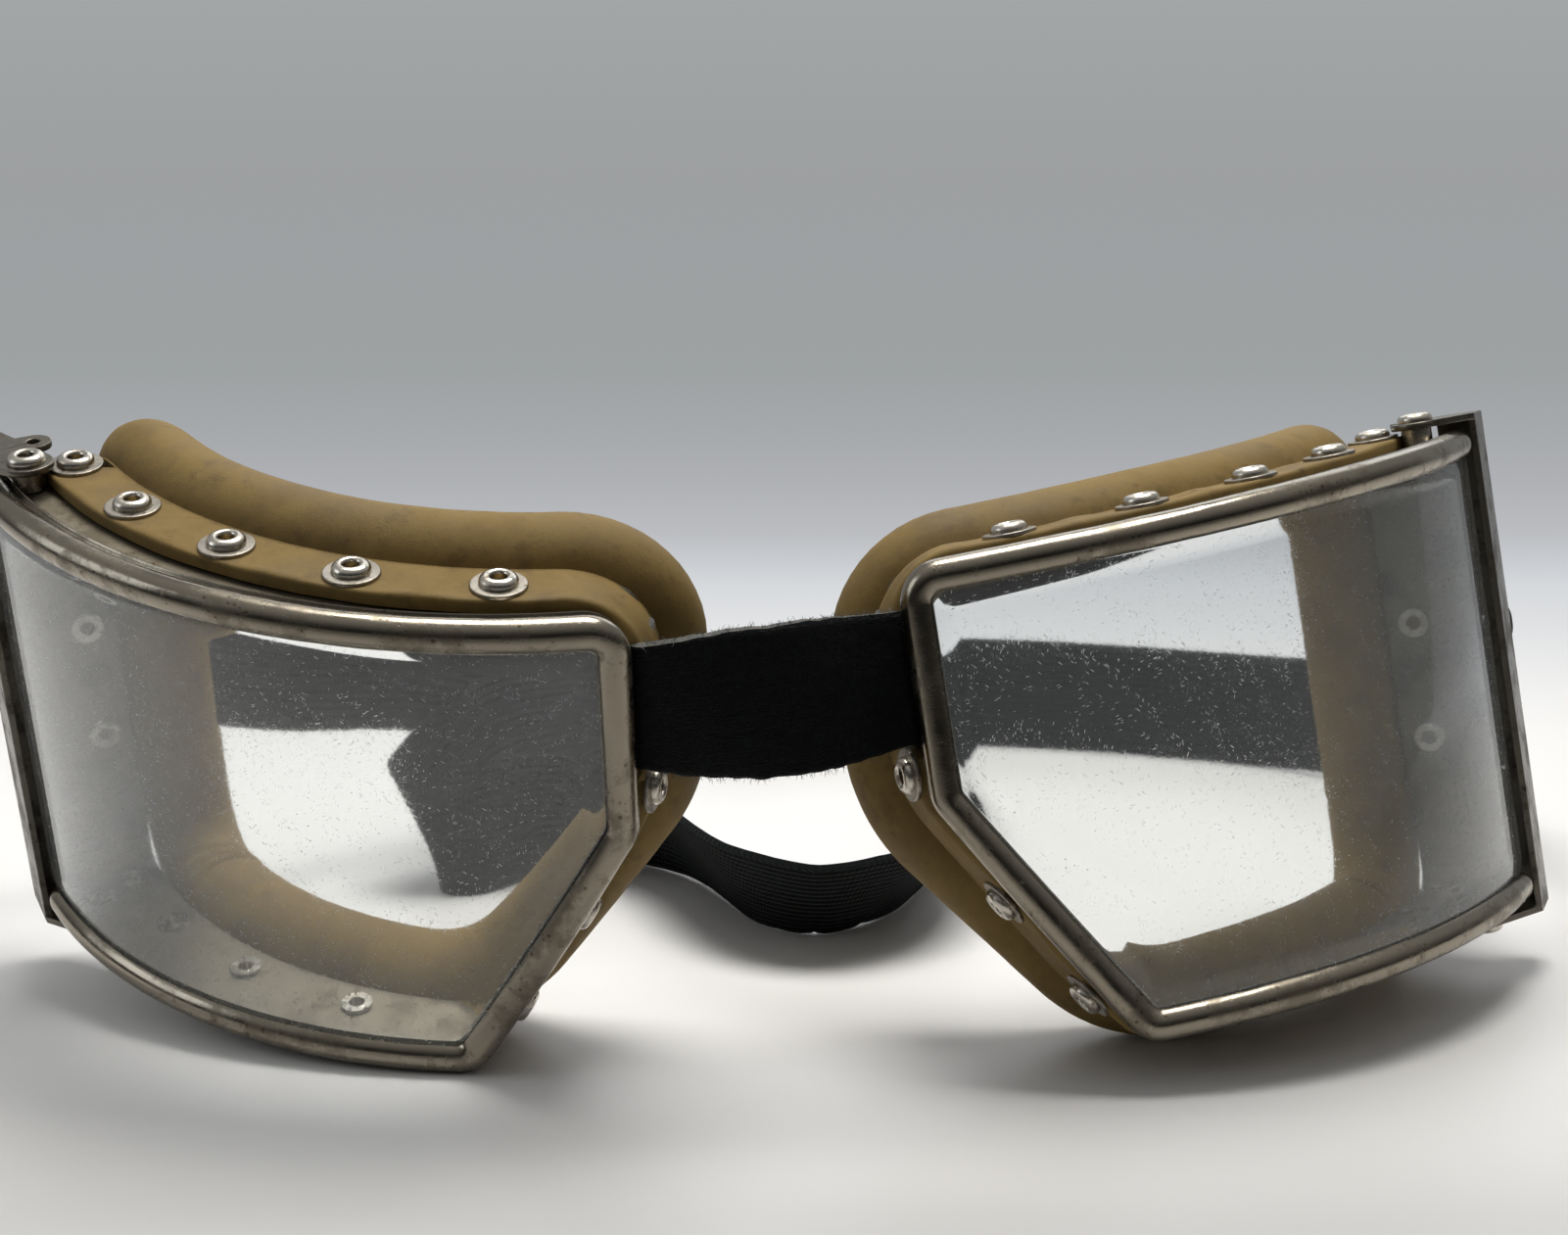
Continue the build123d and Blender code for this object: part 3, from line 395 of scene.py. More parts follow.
def bumped(tree, height, strength, distance, under=None):
    feeds = {"Height": height, "Strength": strength, "Distance": distance}
    if under is not None:
        feeds["Normal"] = under
    return wire(tree, "ShaderNodeBump", feeds).outputs["Normal"]


def place_group(tree, group, **feeds):
    named = {label.replace("_", " "): value for label, value in feeds.items()}
    return wire(tree, "ShaderNodeGroup", named, node_tree=group).outputs


def metal_finish(groups, name, bright, dull, rust, roughness, cover, rust_cover, patch_scale):
    """Old plated metal: bright where it is rubbed, dull in patches, pitted, with a little rust."""
    bright, dull, rust = colour(*bright), colour(*dull), colour(*rust)
    finish, tree, coords, shader = start_finish(name)
    here = coords.outputs["Object"]
    worn = place_group(tree, groups["patches"], Coords=here, Patch_Scale=patch_scale, Cover=cover)
    stains = place_group(tree, groups["patches"], Coords=here, Patch_Scale=patch_scale * 5.5,
                         Pit_Scale=2600.0, Cover=rust_cover)
    brushed = place_group(tree, groups["grain"], Coords=here, Scale=700.0, Stretch=(1.0, 1.0, 2.2))
    body = mixed(tree, times(tree, worn["Patches"], 0.6), bright, dull)
    specks = times(tree, worn["Pits"], between(tree, worn["Cloud"], 0.42, 0.62))
    body = stained(tree, body, specks, 0.75, rust)
    body = stained(tree, body, stains["Patches"], 0.6, rust)
    rough = sums(tree, "ADD", between(tree, worn["Cloud"], 0.3, 0.7, roughness - 0.05, roughness + 0.11),
                 times(tree, stains["Patches"], 0.25))
    rough = sums(tree, "ADD", rough, times(tree, worn["Patches"], 0.10), clamp=True)
    plating = sums(tree, "SUBTRACT", 1.0, times(tree, stains["Patches"], 0.4), clamp=True)
    ripple = bumped(tree, brushed["Height"], 0.16, 0.00012)
    pitted = bumped(tree, sums(tree, "SUBTRACT", 1.0, specks), 0.35, 0.00006, ripple)
    feed(tree, shader, Base_Color=body, Roughness=rough, Metallic=plating, Normal=pitted)
    return finish


def rubber_finish(groups):
    finish, tree, coords, shader = start_finish("tan_rubber")
    here = coords.outputs["Object"]
    stains = place_group(tree, groups["patches"], Coords=here, Patch_Scale=70.0, Pit_Scale=620.0, Cover=0.42)
    grime = place_group(tree, groups["patches"], Coords=here, Patch_Scale=260.0, Pit_Scale=1900.0, Cover=0.38)
    grain = place_group(tree, groups["grain"], Coords=here, Scale=1100.0, Fine_Share=0.5)
    body = mixed(tree, between(tree, stains["Cloud"], 0.3, 0.7), colour(100, 79, 38), colour(130, 107, 57))
    body = stained(tree, body, stains["Patches"], 0.40, colour(92, 70, 33))
    body = stained(tree, body, grime["Patches"], 0.45, colour(76, 57, 27))
    body = stained(tree, body, grain["Fine"], 0.16, colour(158, 134, 84))
    spots = times(tree, stains["Pits"], between(tree, grime["Cloud"], 0.56, 0.66))
    body = stained(tree, body, spots, 0.65, colour(78, 58, 33))
    rough = between(tree, stains["Cloud"], 0.3, 0.7, 0.62, 0.80)
    relief = bumped(tree, grain["Height"], 0.22, 0.00015)
    relief = bumped(tree, grime["Cloud"], 0.30, 0.0004, relief)
    relief = bumped(tree, sums(tree, "SUBTRACT", 1.0, spots), 0.4, 0.0001, relief)
    feed(tree, shader, Base_Color=body, Roughness=rough, Normal=relief, Specular_IOR_Level=0.32,
         Sheen_Weight=0.03, Sheen_Roughness=0.5)
    shader.inputs["Sheen Tint"].default_value = colour(200, 180, 140)
    return finish


def leather_finish(groups):
    finish, tree, coords, shader = start_finish("black_leather")
    here = coords.outputs["UV"]
    drawn = place_group(tree, groups["grain"], Coords=here, Scale=26.0, Stretch=(0.45, 1.9, 1.0),
                        Fine_Share=0.2)
    pores = wire(tree, "ShaderNodeTexVoronoi", {"Vector": here, "Scale": 52.0}, feature="F1")
    long_way = wire(tree, "ShaderNodeVectorMath", {0: here, 1: (0.55, 1.25, 1.0)}, operation="MULTIPLY")
    cracks = wire(tree, "ShaderNodeTexVoronoi", {"Vector": long_way.outputs[0], "Scale": 36.0},
                  feature="DISTANCE_TO_EDGE")
    crease = between(tree, cracks.outputs["Distance"], 0.0, 0.16)
    rubbed = place_group(tree, groups["patches"], Coords=here, Patch_Scale=9.0, Pit_Scale=60.0, Cover=0.40)
    # Painted shade: the colour is darker in the grain's creases
    body = mixed(tree, crease, colour(1, 2, 2), colour(7, 9, 10))
    body = stained(tree, body, rubbed["Patches"], 0.5, colour(6, 16, 19))
    rough = between(tree, drawn["Height"], 0.3, 0.7, 0.40, 0.60)
    relief = bumped(tree, crease, 0.5, 0.00016)
    relief = bumped(tree, drawn["Height"], 0.6, 0.0004, relief)
    relief = bumped(tree, pores.outputs["Distance"], 0.25, 0.00008, relief)
    feed(tree, shader, Base_Color=body, Roughness=rough, Normal=relief, Specular_IOR_Level=0.09)
    return finish


def suede_finish(groups):
    finish, tree, coords, shader = start_finish("raw_suede")
    here = coords.outputs["Object"]
    fuzz = place_group(tree, groups["grain"], Coords=here, Scale=1500.0, Fine_Share=0.5)
    stains = place_group(tree, groups["patches"], Coords=here, Patch_Scale=240.0, Cover=0.5)
    body = mixed(tree, fuzz["Fine"], colour(36, 36, 33), colour(98, 97, 88))
    body = stained(tree, body, stains["Patches"], 0.6, colour(24, 25, 25))
    relief = bumped(tree, fuzz["Height"], 0.9, 0.0003)
    feed(tree, shader, Base_Color=body, Roughness=0.95, Normal=relief, Specular_IOR_Level=0.15,
         Sheen_Weight=0.4, Sheen_Roughness=0.6)
    return finish


def webbing_finish(groups):
    """Black elastic webbing: ribs along it, and short stitches of yarn across each rib, with painted shade in
    their grooves and a painted highlight on their crests.
    """
    finish, tree, coords, shader = start_finish("black_webbing")
    here = coords.outputs["UV"]
    parts = wire(tree, "ShaderNodeSeparateXYZ", {0: here})
    along, across = parts.outputs["X"], parts.outputs["Y"]
    rib = times(tree, across, 2 * math.pi / RIB_PITCH)
    swing = wire(tree, "ShaderNodeMath", {0: rib}, operation="COSINE").outputs[0]
    slant = sums(tree, "ADD", times(tree, along, 2 * math.pi / YARN_PITCH), times(tree, swing, 1.3))
    yarn = wire(tree, "ShaderNodeMath", {0: slant}, operation="SINE").outputs[0]
    knit = sums(tree, "ADD", times(tree, swing, 0.5), times(tree, yarn, 0.38))
    fuzz = place_group(tree, groups["grain"], Coords=here, Scale=2.4, Fine_Share=0.6)
    lint = place_group(tree, groups["patches"], Coords=here, Patch_Scale=0.09, Pit_Scale=1.7, Cover=0.5)
    # Painted shade and highlight: darker in the grooves of the ribs and stitches, lighter on their crests
    body = mixed(tree, between(tree, knit, -0.7, 0.8), colour(1, 3, 3), colour(11, 17, 18))
    body = stained(tree, body, lint["Patches"], 0.35, colour(14, 22, 24))
    flecks = times(tree, lint["Pits"], between(tree, fuzz["Fine"], 0.5, 0.7))
    body = stained(tree, body, flecks, 0.35, colour(92, 95, 92))
    relief = bumped(tree, knit, 0.7, 0.00016)
    relief = bumped(tree, fuzz["Height"], 0.5, 0.00012, relief)
    feed(tree, shader, Base_Color=body, Roughness=0.86, Normal=relief, Specular_IOR_Level=0.14,
         Sheen_Weight=0.04, Sheen_Roughness=0.45)
    return finish


def glass_finish(groups):
    """Old clear sheet: dust specks of two sizes, hair scratches and a sparse haze."""
    finish, tree, coords, shader = start_finish("scratched_clear_sheet")
    here = coords.outputs["Object"]
    dust = place_group(tree, groups["patches"], Coords=here, Patch_Scale=60.0, Pit_Scale=900.0,
                       Pit_Size=0.11)
    fine = place_group(tree, groups["patches"], Coords=here, Patch_Scale=33.0, Pit_Scale=2100.0,
                       Pit_Size=0.13)
    hairs = place_group(tree, groups["lint"], Coords=here, Scale=1.5, Amount=0.34)
    haze = place_group(tree, groups["grain"], Coords=here, Scale=1500.0, Fine_Share=0.65)
    thick = between(tree, dust["Cloud"], 0.40, 0.62)
    specks = times(tree, dust["Pits"], thick)
    specks = sums(tree, "MAXIMUM", specks, times(tree, fine["Pits"], 0.6))
    specks = sums(tree, "MAXIMUM", specks, times(tree, hairs["Mask"], 0.7))
    dusty = between(tree, haze["Height"], 0.60, 0.66)
    dusty = times(tree, dusty, between(tree, fine["Cloud"], 0.3, 0.7))
    marks = sums(tree, "MAXIMUM", specks, times(tree, dusty, 0.6))
    body = mixed(tree, times(tree, marks, 0.40), colour(246, 248, 247), colour(150, 150, 146))
    rough = sums(tree, "ADD", times(tree, marks, 0.55), 0.04)
    relief = bumped(tree, fine["Cloud"], 0.03, 0.0004)
    feed(tree, shader, Base_Color=body, Roughness=rough, Normal=relief, Transmission_Weight=0.95, IOR=1.49)
    clear = wire(tree, "ShaderNodeBsdfTransparent", {"Color": grey(0.9)})
    seen = wire(tree, "ShaderNodeLightPath")
    both = wire(tree, "ShaderNodeMixShader", {0: seen.outputs["Is Shadow Ray"], 1: shader.outputs[0],
                                              2: clear.outputs[0]})
    out = next(n for n in tree.nodes if n.type == "OUTPUT_MATERIAL")
    tree.links.new(both.outputs[0], out.inputs["Surface"])
    return finish


BROWN_RUST = (96, 72, 50)
METALS = {
    # finish: its name, bright, dull and rust colours, roughness, cover of dull and of rust, patch scale
    "rim": ("aged_nickel_rim", (142, 134, 120), (98, 90, 76), (70, 58, 44), 0.20, 0.48, 0.20, 130.0),
    "wall": ("dull_nickel_wall", (118, 111, 97), (88, 80, 66), (62, 50, 38), 0.46, 0.55, 0.26, 90.0),
    "eyelet": ("eyelet_nickel", (196, 190, 178), (150, 140, 126), BROWN_RUST, 0.24, 0.42, 0.24, 420.0),
    "washer": ("washer_steel", (158, 152, 142), (112, 106, 95), BROWN_RUST, 0.34, 0.50, 0.28, 380.0),
    "gate": ("dark_gate_steel", (112, 107, 98), (66, 61, 54), (60, 44, 32), 0.34, 0.55, 0.32, 160.0),
    "rivet": ("rivet_metal", (120, 114, 104), (74, 68, 60), BROWN_RUST, 0.36, 0.5, 0.3, 400.0),
}


def make_finishes():
    groups = {"patches": patches_group(), "grain": grain_group(), "lint": lint_group()}
    finishes = {part: metal_finish(groups, *look) for part, look in METALS.items()}
    others = {"rubber": rubber_finish, "leather": leather_finish, "suede": suede_finish,
              "webbing": webbing_finish, "glass": glass_finish}
    finishes.update({part: make(groups) for part, make in others.items()})
    return finishes


# Shapes of the eyepieces

def top_height(x, y):
    return 0.039 * x + 0.030 * y


def bottom_height(x, y):
    return -EYE_HEIGHT + 0.012 * (x - NOSE_CUT) + 0.012 * (y - CUT_BACK)


def seat(side):
    """The turn and the place of an eyepiece in the row frame, in millimetres."""
    turn = Matrix.Identity(3)
    for axis, tilt in zip("XYZ", TILTS[side]):
        turn = turn @ Matrix.Rotation(math.radians(tilt), 3, axis)
    return np.array(turn), np.array(ORIGINS[side])


def placed(side, points):
    turn, origin = seat(side)
    own = np.array(points, float).reshape(-1, 3) * ((-1, 1, 1) if side == "left" else (1, 1, 1))
    return own @ turn.T + origin


# Points along the top, nose bar, cut, bottom and end of every outline, and round each corner
SIDE_SAMPLES = (126, 36, 48, 104, 78)
CORNER_SAMPLES = 12
DENSE_SAMPLES, SETTLING_ROUNDS = 120, 12
SHEET_CORNER, LEAST_CORNER = 3.0, 0.25


def straight_nose(bar_out, head_out, foot_out):
    """Where the nose bar and the cut stand: the bar's x at a y, and the cut's z at an x and y."""
    way = np.array([CUT_NORMAL.x, CUT_NORMAL.z])
    head = np.array([0, -NOSE_BAR]) + way * head_out
    foot = np.array([NOSE_CUT, -EYE_HEIGHT]) + way * foot_out
    slope = (foot[1] - head[1]) / (foot[0] - head[0])
    return (lambda y: -bar_out), (lambda x, y: head[1] + (x - head[0]) * slope)


def flared_nose(height):
    """The same for the sides that spread towards the face, at this height over the wall's inside."""
    return (lambda y: (height - NOSE_OUT[1] * (y - WALL_FRONT)) / NOSE_OUT[0],
            lambda x, y: -NOSE_BAR + (height - CUT_OUT[0] * x - CUT_OUT[1] * (y - WALL_FRONT)) / CUT_OUT[2])


def side_lines(nose_side, top_out, bottom_out, end_out, depth, lean=0.0):
    """The five sides of the outline as dense lines on the surface at this depth: the top from the outer
    end to the nose, the nose bar, the slanting cut, the bottom and the end."""
    bar_x, cut_z = nose_side
    ring = LENS_RADIUS - depth
    far = END_TURN + math.asin((end_out + lean * math.cos(END_TURN)) / ring)
    near, foot = 0.0, NOSE_CUT
    for _ in range(SETTLING_ROUNDS):
        near = math.asin((bar_x(LENS_RADIUS - ring * math.cos(near)) + lean) / ring)
        y = LENS_RADIUS - ring * math.cos(math.asin((foot + lean) / ring))
        foot += (cut_z(foot, y) - bottom_height(foot, y) + bottom_out) * NOSE_CUT / (EYE_HEIGHT - NOSE_BAR)

    def line(turns, height):
        x = -lean + ring * np.sin(turns)
        y = LENS_RADIUS - ring * np.cos(turns)
        return np.stack([x, y, height(x, y)], -1)

    def run(start, stop):
        return np.linspace(start, stop, DENSE_SAMPLES)

    top = line(run(far, near), lambda x, y: top_height(x, y) + top_out)
    bar = line(np.full(DENSE_SAMPLES, near), lambda x, y: run(top[-1][2], cut_z(x[0], y[0])))
    cut_turns = np.arcsin((run(bar[0][0], foot) + lean) / ring)
    cut = line(cut_turns, cut_z)
    bottom = line(run(cut_turns[-1], far), lambda x, y: bottom_height(x, y) - bottom_out)
    end = line(np.full(DENSE_SAMPLES, far), lambda x, y: run(bottom[-1][2], top[0][2]))
    return [top, bar, cut, bottom, end]


def walk(line):
    return np.concatenate([[0], np.cumsum(np.linalg.norm(np.diff(line, axis=0), axis=1))])


def part_of(line, start, stop, count):
    """Evenly spaced points on a line, from start to stop, as lengths along it."""
    along = walk(line)
    at = np.linspace(start, stop, count)
    return np.stack([np.interp(at, along, line[:, k]) for k in range(3)], -1)


def unit(way):
    return way / np.linalg.norm(way)


def bend_between(before, after):
    """The way out of one line, the way into the next one, and the angle between them."""
    way_in, way_out = unit(before[-1] - before[-2]), unit(after[1] - after[0])
    return way_in, way_out, math.acos(max(-1.0, min(1.0, float(way_in @ way_out))))


def corner_arc(before, after, count):
    """A smooth bend from the end of one line to the start of the next."""
    start, stop = before[-1], after[0]
    way_in, way_out, turn = bend_between(before, after)
    gap = np.linalg.norm(stop - start)
    if turn < 1e-3 or gap < 1e-6:
        return np.linspace(start, stop, count + 2)[1:-1]
    pull = 4 / 3 * math.tan(turn / 4) * gap / (2 * math.sin(turn / 2))
    t = np.linspace(0, 1, count + 2)[1:-1, None]
    first, second = start + way_in * pull, stop - way_out * pull
    outer = (1 - t) ** 3 * start + 3 * t * (1 - t) ** 2 * first
    return outer + 3 * t * t * (1 - t) * second + t ** 3 * stop


def rounded(lines, rounds, closed=True):
    """The sides joined by rounded corners: the same number of points whatever their offsets are."""
    count = 5 if closed else 4
    trims = []
    for k in range(count):
        turn = bend_between(lines[k], lines[(k + 1) % 5])[2]
        trims.append(max(rounds[k], LEAST_CORNER) * math.tan(turn / 2))
    sides = []
    for k in range(count):
        start = trims[k - 1] if closed or k else 0.0
        stop = trims[k] if closed or k < 3 else 0.0
        length = walk(lines[k])[-1]
        sides.append(part_of(lines[k], start, length - stop, SIDE_SAMPLES[k]))
    pieces = []
    for k in range(count):
        pieces.append(sides[k])
        if closed or k < 3:
            pieces.append(corner_arc(sides[k], sides[(k + 1) % 5], CORNER_SAMPLES))
    return np.concatenate(pieces)


def rim_line(out, depth, end_out):
    lines = side_lines(straight_nose(out, out, out), out, out, end_out, depth)
    return rounded(lines, [SHEET_CORNER + out] * 5, closed=False)


def flange_line(height, depth, nose_corner=None):
    """An outline of the cushion's flange, at this height over the wall's inside."""
    lines = side_lines(flared_nose(height), height, height, height, depth, CUSHION_LEAN)
    rounds = [SHEET_CORNER + height] * 5
    rounds[0] = nose_corner or rounds[0]
    return rounded(lines, rounds)


def skin_faces(rows, columns, close_rows, close_columns):
    """Four-sided faces over a grid of points that is numbered row by row."""
    faces = []
    for r in range(rows if close_rows else rows - 1):
        for c in range(columns if close_columns else columns - 1):
            r2, c2 = (r + 1) % rows, (c + 1) % columns
            faces.append((r * columns + c, r * columns + c2, r2 * columns + c2, r2 * columns + c))
    return faces


def add_mesh(name, points, faces, finishes, uvs=None, finish_of=None, smooth_angle=40):
    """A piece from points in millimetres in the row frame. uvs gives one pair for each point."""
    mesh = bpy.data.meshes.new(name)
    mesh.from_pydata((np.asarray(points, float) * MM).tolist(), [], [tuple(f) for f in faces])
    for finish in finishes:
        mesh.materials.append(finish)
    if uvs is not None:
        layer = mesh.uv_layers.new(name="cloth")
        index = np.zeros(len(mesh.loops), int)
        mesh.loops.foreach_get("vertex_index", index)
        layer.data.foreach_set("uv", np.asarray(uvs, np.float32)[index].ravel())
    if finish_of is not None:
        mesh.polygons.foreach_set("material_index", np.asarray(finish_of, np.int32))
    mesh.validate()
    shell = bmesh.new()
    shell.from_mesh(mesh)
    bmesh.ops.recalc_face_normals(shell, faces=shell.faces)
    shell.to_mesh(mesh)
    shell.free()
    mesh.shade_smooth()
    if smooth_angle is not None:
        mesh.set_sharp_from_angle(angle=math.radians(smooth_angle))
    piece = bpy.data.objects.new(name, mesh)
    bpy.context.scene.collection.objects.link(piece)
    return piece


def ripple(point, size, seed=0.0):
    """Smooth noise from -1 to 1 about this size in millimetres."""
    return noise.noise(Vector(point) / size + Vector((seed, seed * 1.7, -seed)))


def arc_of_circle(centre, radius, start, stop, count):
    turns = np.radians(np.linspace(start, stop, count))
    return [(centre[0] + radius * math.cos(t), centre[1] + radius * math.sin(t)) for t in turns]


BEAD_RADIUS, BEAD_SAMPLES = 1.9, 26
RIM_END = -4.2
# The rim's section, as (out, back): the round bead, the folded ridge behind it and the groove for the lens
RIM_SECTION = arc_of_circle((0, 0), BEAD_RADIUS, -156, 50, BEAD_SAMPLES) + [
    (1.02, 1.66), (0.98, 1.82), (1.08, 1.93), (1.30, 1.99), (1.42, 2.12), (1.36, 2.27), (1.10, 2.36),
    (0.80, 2.38), (0.65, 2.36), (0.65, 1.27), (-0.05, 1.27), (-0.05, 1.80), (-0.60, 1.74), (-1.22, 1.44),
    (-1.62, 1.02), (-1.74, 0.78), (-0.62, 0.76), (-0.62, -0.76)]
# How far the rim's first and last rows are drawn in, as shares of the section
RIM_ENDS = ((0, 0.80), (1, 0.95), (-1, 0.80), (-2, 0.95))


def make_rim(side, finishes):
    """The rolled bead round the lens, with the folded edge of the sheet as a thin ridge behind it."""
    grid = np.array([rim_line(out, depth, RIM_END) for out, depth in RIM_SECTION])
    rows, columns = grid.shape[:2]
    middle = rim_line(0.0, 0.0, RIM_END)
    for c in range(columns):
        away = grid[:BEAD_SAMPLES, c] - middle[c]
        dent = 0.020 * ripple(middle[c], 9.0, 1.3) + 0.010 * ripple(middle[c], 2.6, 4.1)
        grid[:BEAD_SAMPLES, c] = middle[c] + away * (1 + min(dent, 0.0) * 2)
    for c, squeeze in RIM_ENDS:
        grid[:, c] = middle[c] + (grid[:, c] - middle[c]) * squeeze
    faces = skin_faces(rows, columns, True, False)
    faces.append([r * columns for r in range(rows)])
    faces.append([r * columns + columns - 1 for r in range(rows)])
    piece = add_mesh(side + "_rolled_rim", placed(side, grid), faces, [finishes["rim"]])
    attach(piece, side + "_eyepiece")
    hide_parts(side + "_rim")


LENS_INSET, LENS_END_INSET, LENS_HALF, LENS_BEVEL = 0.7, 1.0, 0.68, 0.26
LENS_STEPS = np.array((0.0, 0.7, 1.25, 2.3, 3.4))
LENS_ROWS, LENS_COLUMNS = 44, 150
CUT_SPREAD = 1.85
BEVEL_SHARES = (1.0, 0.85, 0.70, 0.0)


def edged(low, high, low_steps, high_steps, count):
    """Places from low to high: at these steps in from both edges, and evenly spaced between them."""
    inner = np.linspace(low + low_steps[-1], high - high_steps[-1], count)[1:-1]
    return np.concatenate([low + low_steps, inner, high - high_steps[::-1]])


def lens_surface(facing):
    """The sheet's front (-1) or back (1) face, with the bevel at its edges."""
    steps = LENS_STEPS / LENS_RADIUS
    near, far = math.asin(LENS_INSET / LENS_RADIUS), END_TURN - LENS_END_INSET / LENS_RADIUS
    turns = edged(near, far, steps, steps, LENS_COLUMNS)
    grid = []
    for i, turn in enumerate(turns):
        x, y = LENS_RADIUS * math.sin(turn), LENS_RADIUS * (1 - math.cos(turn))
        cut = -NOSE_BAR + (-LENS_INSET - CUT_NORMAL.x * x) / CUT_NORMAL.z
        bottom = bottom_height(x, y) + LENS_INSET
        spread = CUT_SPREAD if cut > bottom else 1.0
        heights = edged(max(cut, bottom), top_height(x, y) - LENS_INSET, LENS_STEPS * spread, LENS_STEPS,
                        LENS_ROWS)
        column = []
        for j, z in enumerate(heights):
            inside = min(i, len(turns) - 1 - i, j, len(heights) - 1 - j)
            edge = BEVEL_SHARES[min(inside, len(BEVEL_SHARES) - 1)]
            ring = LENS_RADIUS - facing * (LENS_HALF - LENS_BEVEL * edge)
            column.append((ring * math.sin(turn), LENS_RADIUS - ring * math.cos(turn), z))
        grid.append(column)
    return np.array(grid)


def make_lens(side, finishes):
    """The bent clear sheet, with a narrow bevel all round just inside the rim."""
    front, back = lens_surface(-1), lens_surface(1)
    rows, columns = front.shape[:2]
    count = rows * columns
    faces = skin_faces(rows, columns, False, False)
    faces += [tuple(v + count for v in f[::-1]) for f in faces]
    rim = [r * columns for r in range(rows)]
    rim += [(rows - 1) * columns + c for c in range(1, columns)]
    rim += [r * columns + columns - 1 for r in range(rows - 2, -1, -1)]
    rim += list(range(columns - 2, 0, -1))
    faces += [(a + count, b + count, b, a) for a, b in zip(rim, rim[1:] + rim[:1])]
    points = np.concatenate([front.reshape(-1, 3), back.reshape(-1, 3)])
    piece = add_mesh(side + "_clear_lens", placed(side, points), faces, [finishes["glass"]], smooth_angle=30)
    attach(piece, side + "_eyepiece")
    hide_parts(side + "_lens")


TOP_EYELETS = (0.133, 0.332, 0.528, 0.722, 0.903)
BOTTOM_EYELETS = (0.395, 0.60, 0.785, 0.938)
END_EYELETS = (0.34, 0.62)
CUT_EYELETS = (0.40, 0.82)
NOSE_EYELET = 0.895
EYELET_DEPTH = 5.8


def eyelet_spots(height):
    """The middles of the cushion's eyelets, at this height above the rim's centre line."""
    spots = []
    for shares, level, sign in ((TOP_EYELETS, top_height, 1), (BOTTOM_EYELETS, bottom_height, -1)):
        for share in shares:
            turn = share * END_TURN
            ring = LENS_RADIUS - EYELET_DEPTH - CUSHION_LEAN * math.sin(turn)
            x, y = ring * math.sin(turn), LENS_RADIUS - ring * math.cos(turn)
            spots.append((x, y, level(x, y) + sign * height))
    inward = EYELET_DEPTH + CUSHION_LEAN * math.sin(END_TURN)
    for share in END_EYELETS:
        spots.append(END_POINT + END_IN * inward + END_OUT * height - np.array([0, 0, share * EYE_HEIGHT]))
    back = EYELET_DEPTH - WALL_FRONT
    cut_head = np.array([0, WALL_FRONT, -NOSE_BAR]) + CUT_OUT * height + CUT_AWAY * back
    spots += [cut_head + CUT_RUN * share for share in CUT_EYELETS]
    spots.append(np.array([0, WALL_FRONT, -NOSE_EYELET * NOSE_BAR]) + NOSE_OUT * height + NOSE_BACK * back)
    return np.array([np.array(s, float) for s in spots])


FLANGE_IN, FLANGE_OUT, FLANGE_FRONT, FLANGE_NOSE_CORNER = 0.65, 2.35, 2.5, 8.0
ROLL_RADIUS, ROLL_DEPTH = 5.2, 14.6
# How far out the roll's middle stands, and the flare there: top, nose bar, cut head, cut foot, bottom, end
ROLL_PLACES = ((0.8, 0.0), (7.9, NOSE_FLARE), (7.4, CUT_FLARE), (3.8, CUT_FLARE), (0.8, 0.0), (0.8, 0.0))
ROLL_ROUNDS = (11.0, 18.0, 16.0, 9.0, 9.0)
# The roll's creases and steps, (place, depth): places are numbers of the outline's points
CREASES = {"left": ((336, 0.55), (341, 0.5), (347, 0.35), (384, 0.25)), "right": ((338, 0.4), (372, 0.3))}
ROLL_STEPS = {"left": ((378, 0.30),), "right": ((334, 0.34),)}


def roll_line(share, radius=ROLL_RADIUS):
    """An outline of the round roll: at 0 it leaves the flange's outer face, at 1 it meets the inner one."""
    outs, depths, ways = [], [], []
    for rise, flare in ROLL_PLACES:
        above = rise * math.cos(flare) - (ROLL_DEPTH - WALL_FRONT) * math.sin(flare)
        start = -math.acos((FLANGE_OUT - above) / ROLL_RADIUS)
        stop = 2 * math.pi - math.acos((FLANGE_IN - above) / ROLL_RADIUS)
        turn = start + (stop - start) * share - flare
        outs.append(rise + radius * math.cos(turn))
        depths.append(ROLL_DEPTH + radius * math.sin(turn))
        ways.append(radius * math.cos(turn))
    nose_side = straight_nose(*outs[1:4])
    sheets = [side_lines(nose_side, outs[0], outs[4], outs[5], depth, CUSHION_LEAN) for depth in depths]
    down = np.linspace(0, 1, DENSE_SAMPLES)[:, None]
    cut = sheets[2][2] * (1 - down) + sheets[3][2] * down
    lines = [sheets[0][0], sheets[1][1], cut, sheets[4][3], sheets[5][4]]
    neighbours = ((0, 1), (1, 2), (3, 4), (4, 5), (5, 0))
    return rounded(lines, [r + (ways[i] + ways[k]) / 2 for r, (i, k) in zip(ROLL_ROUNDS, neighbours)])


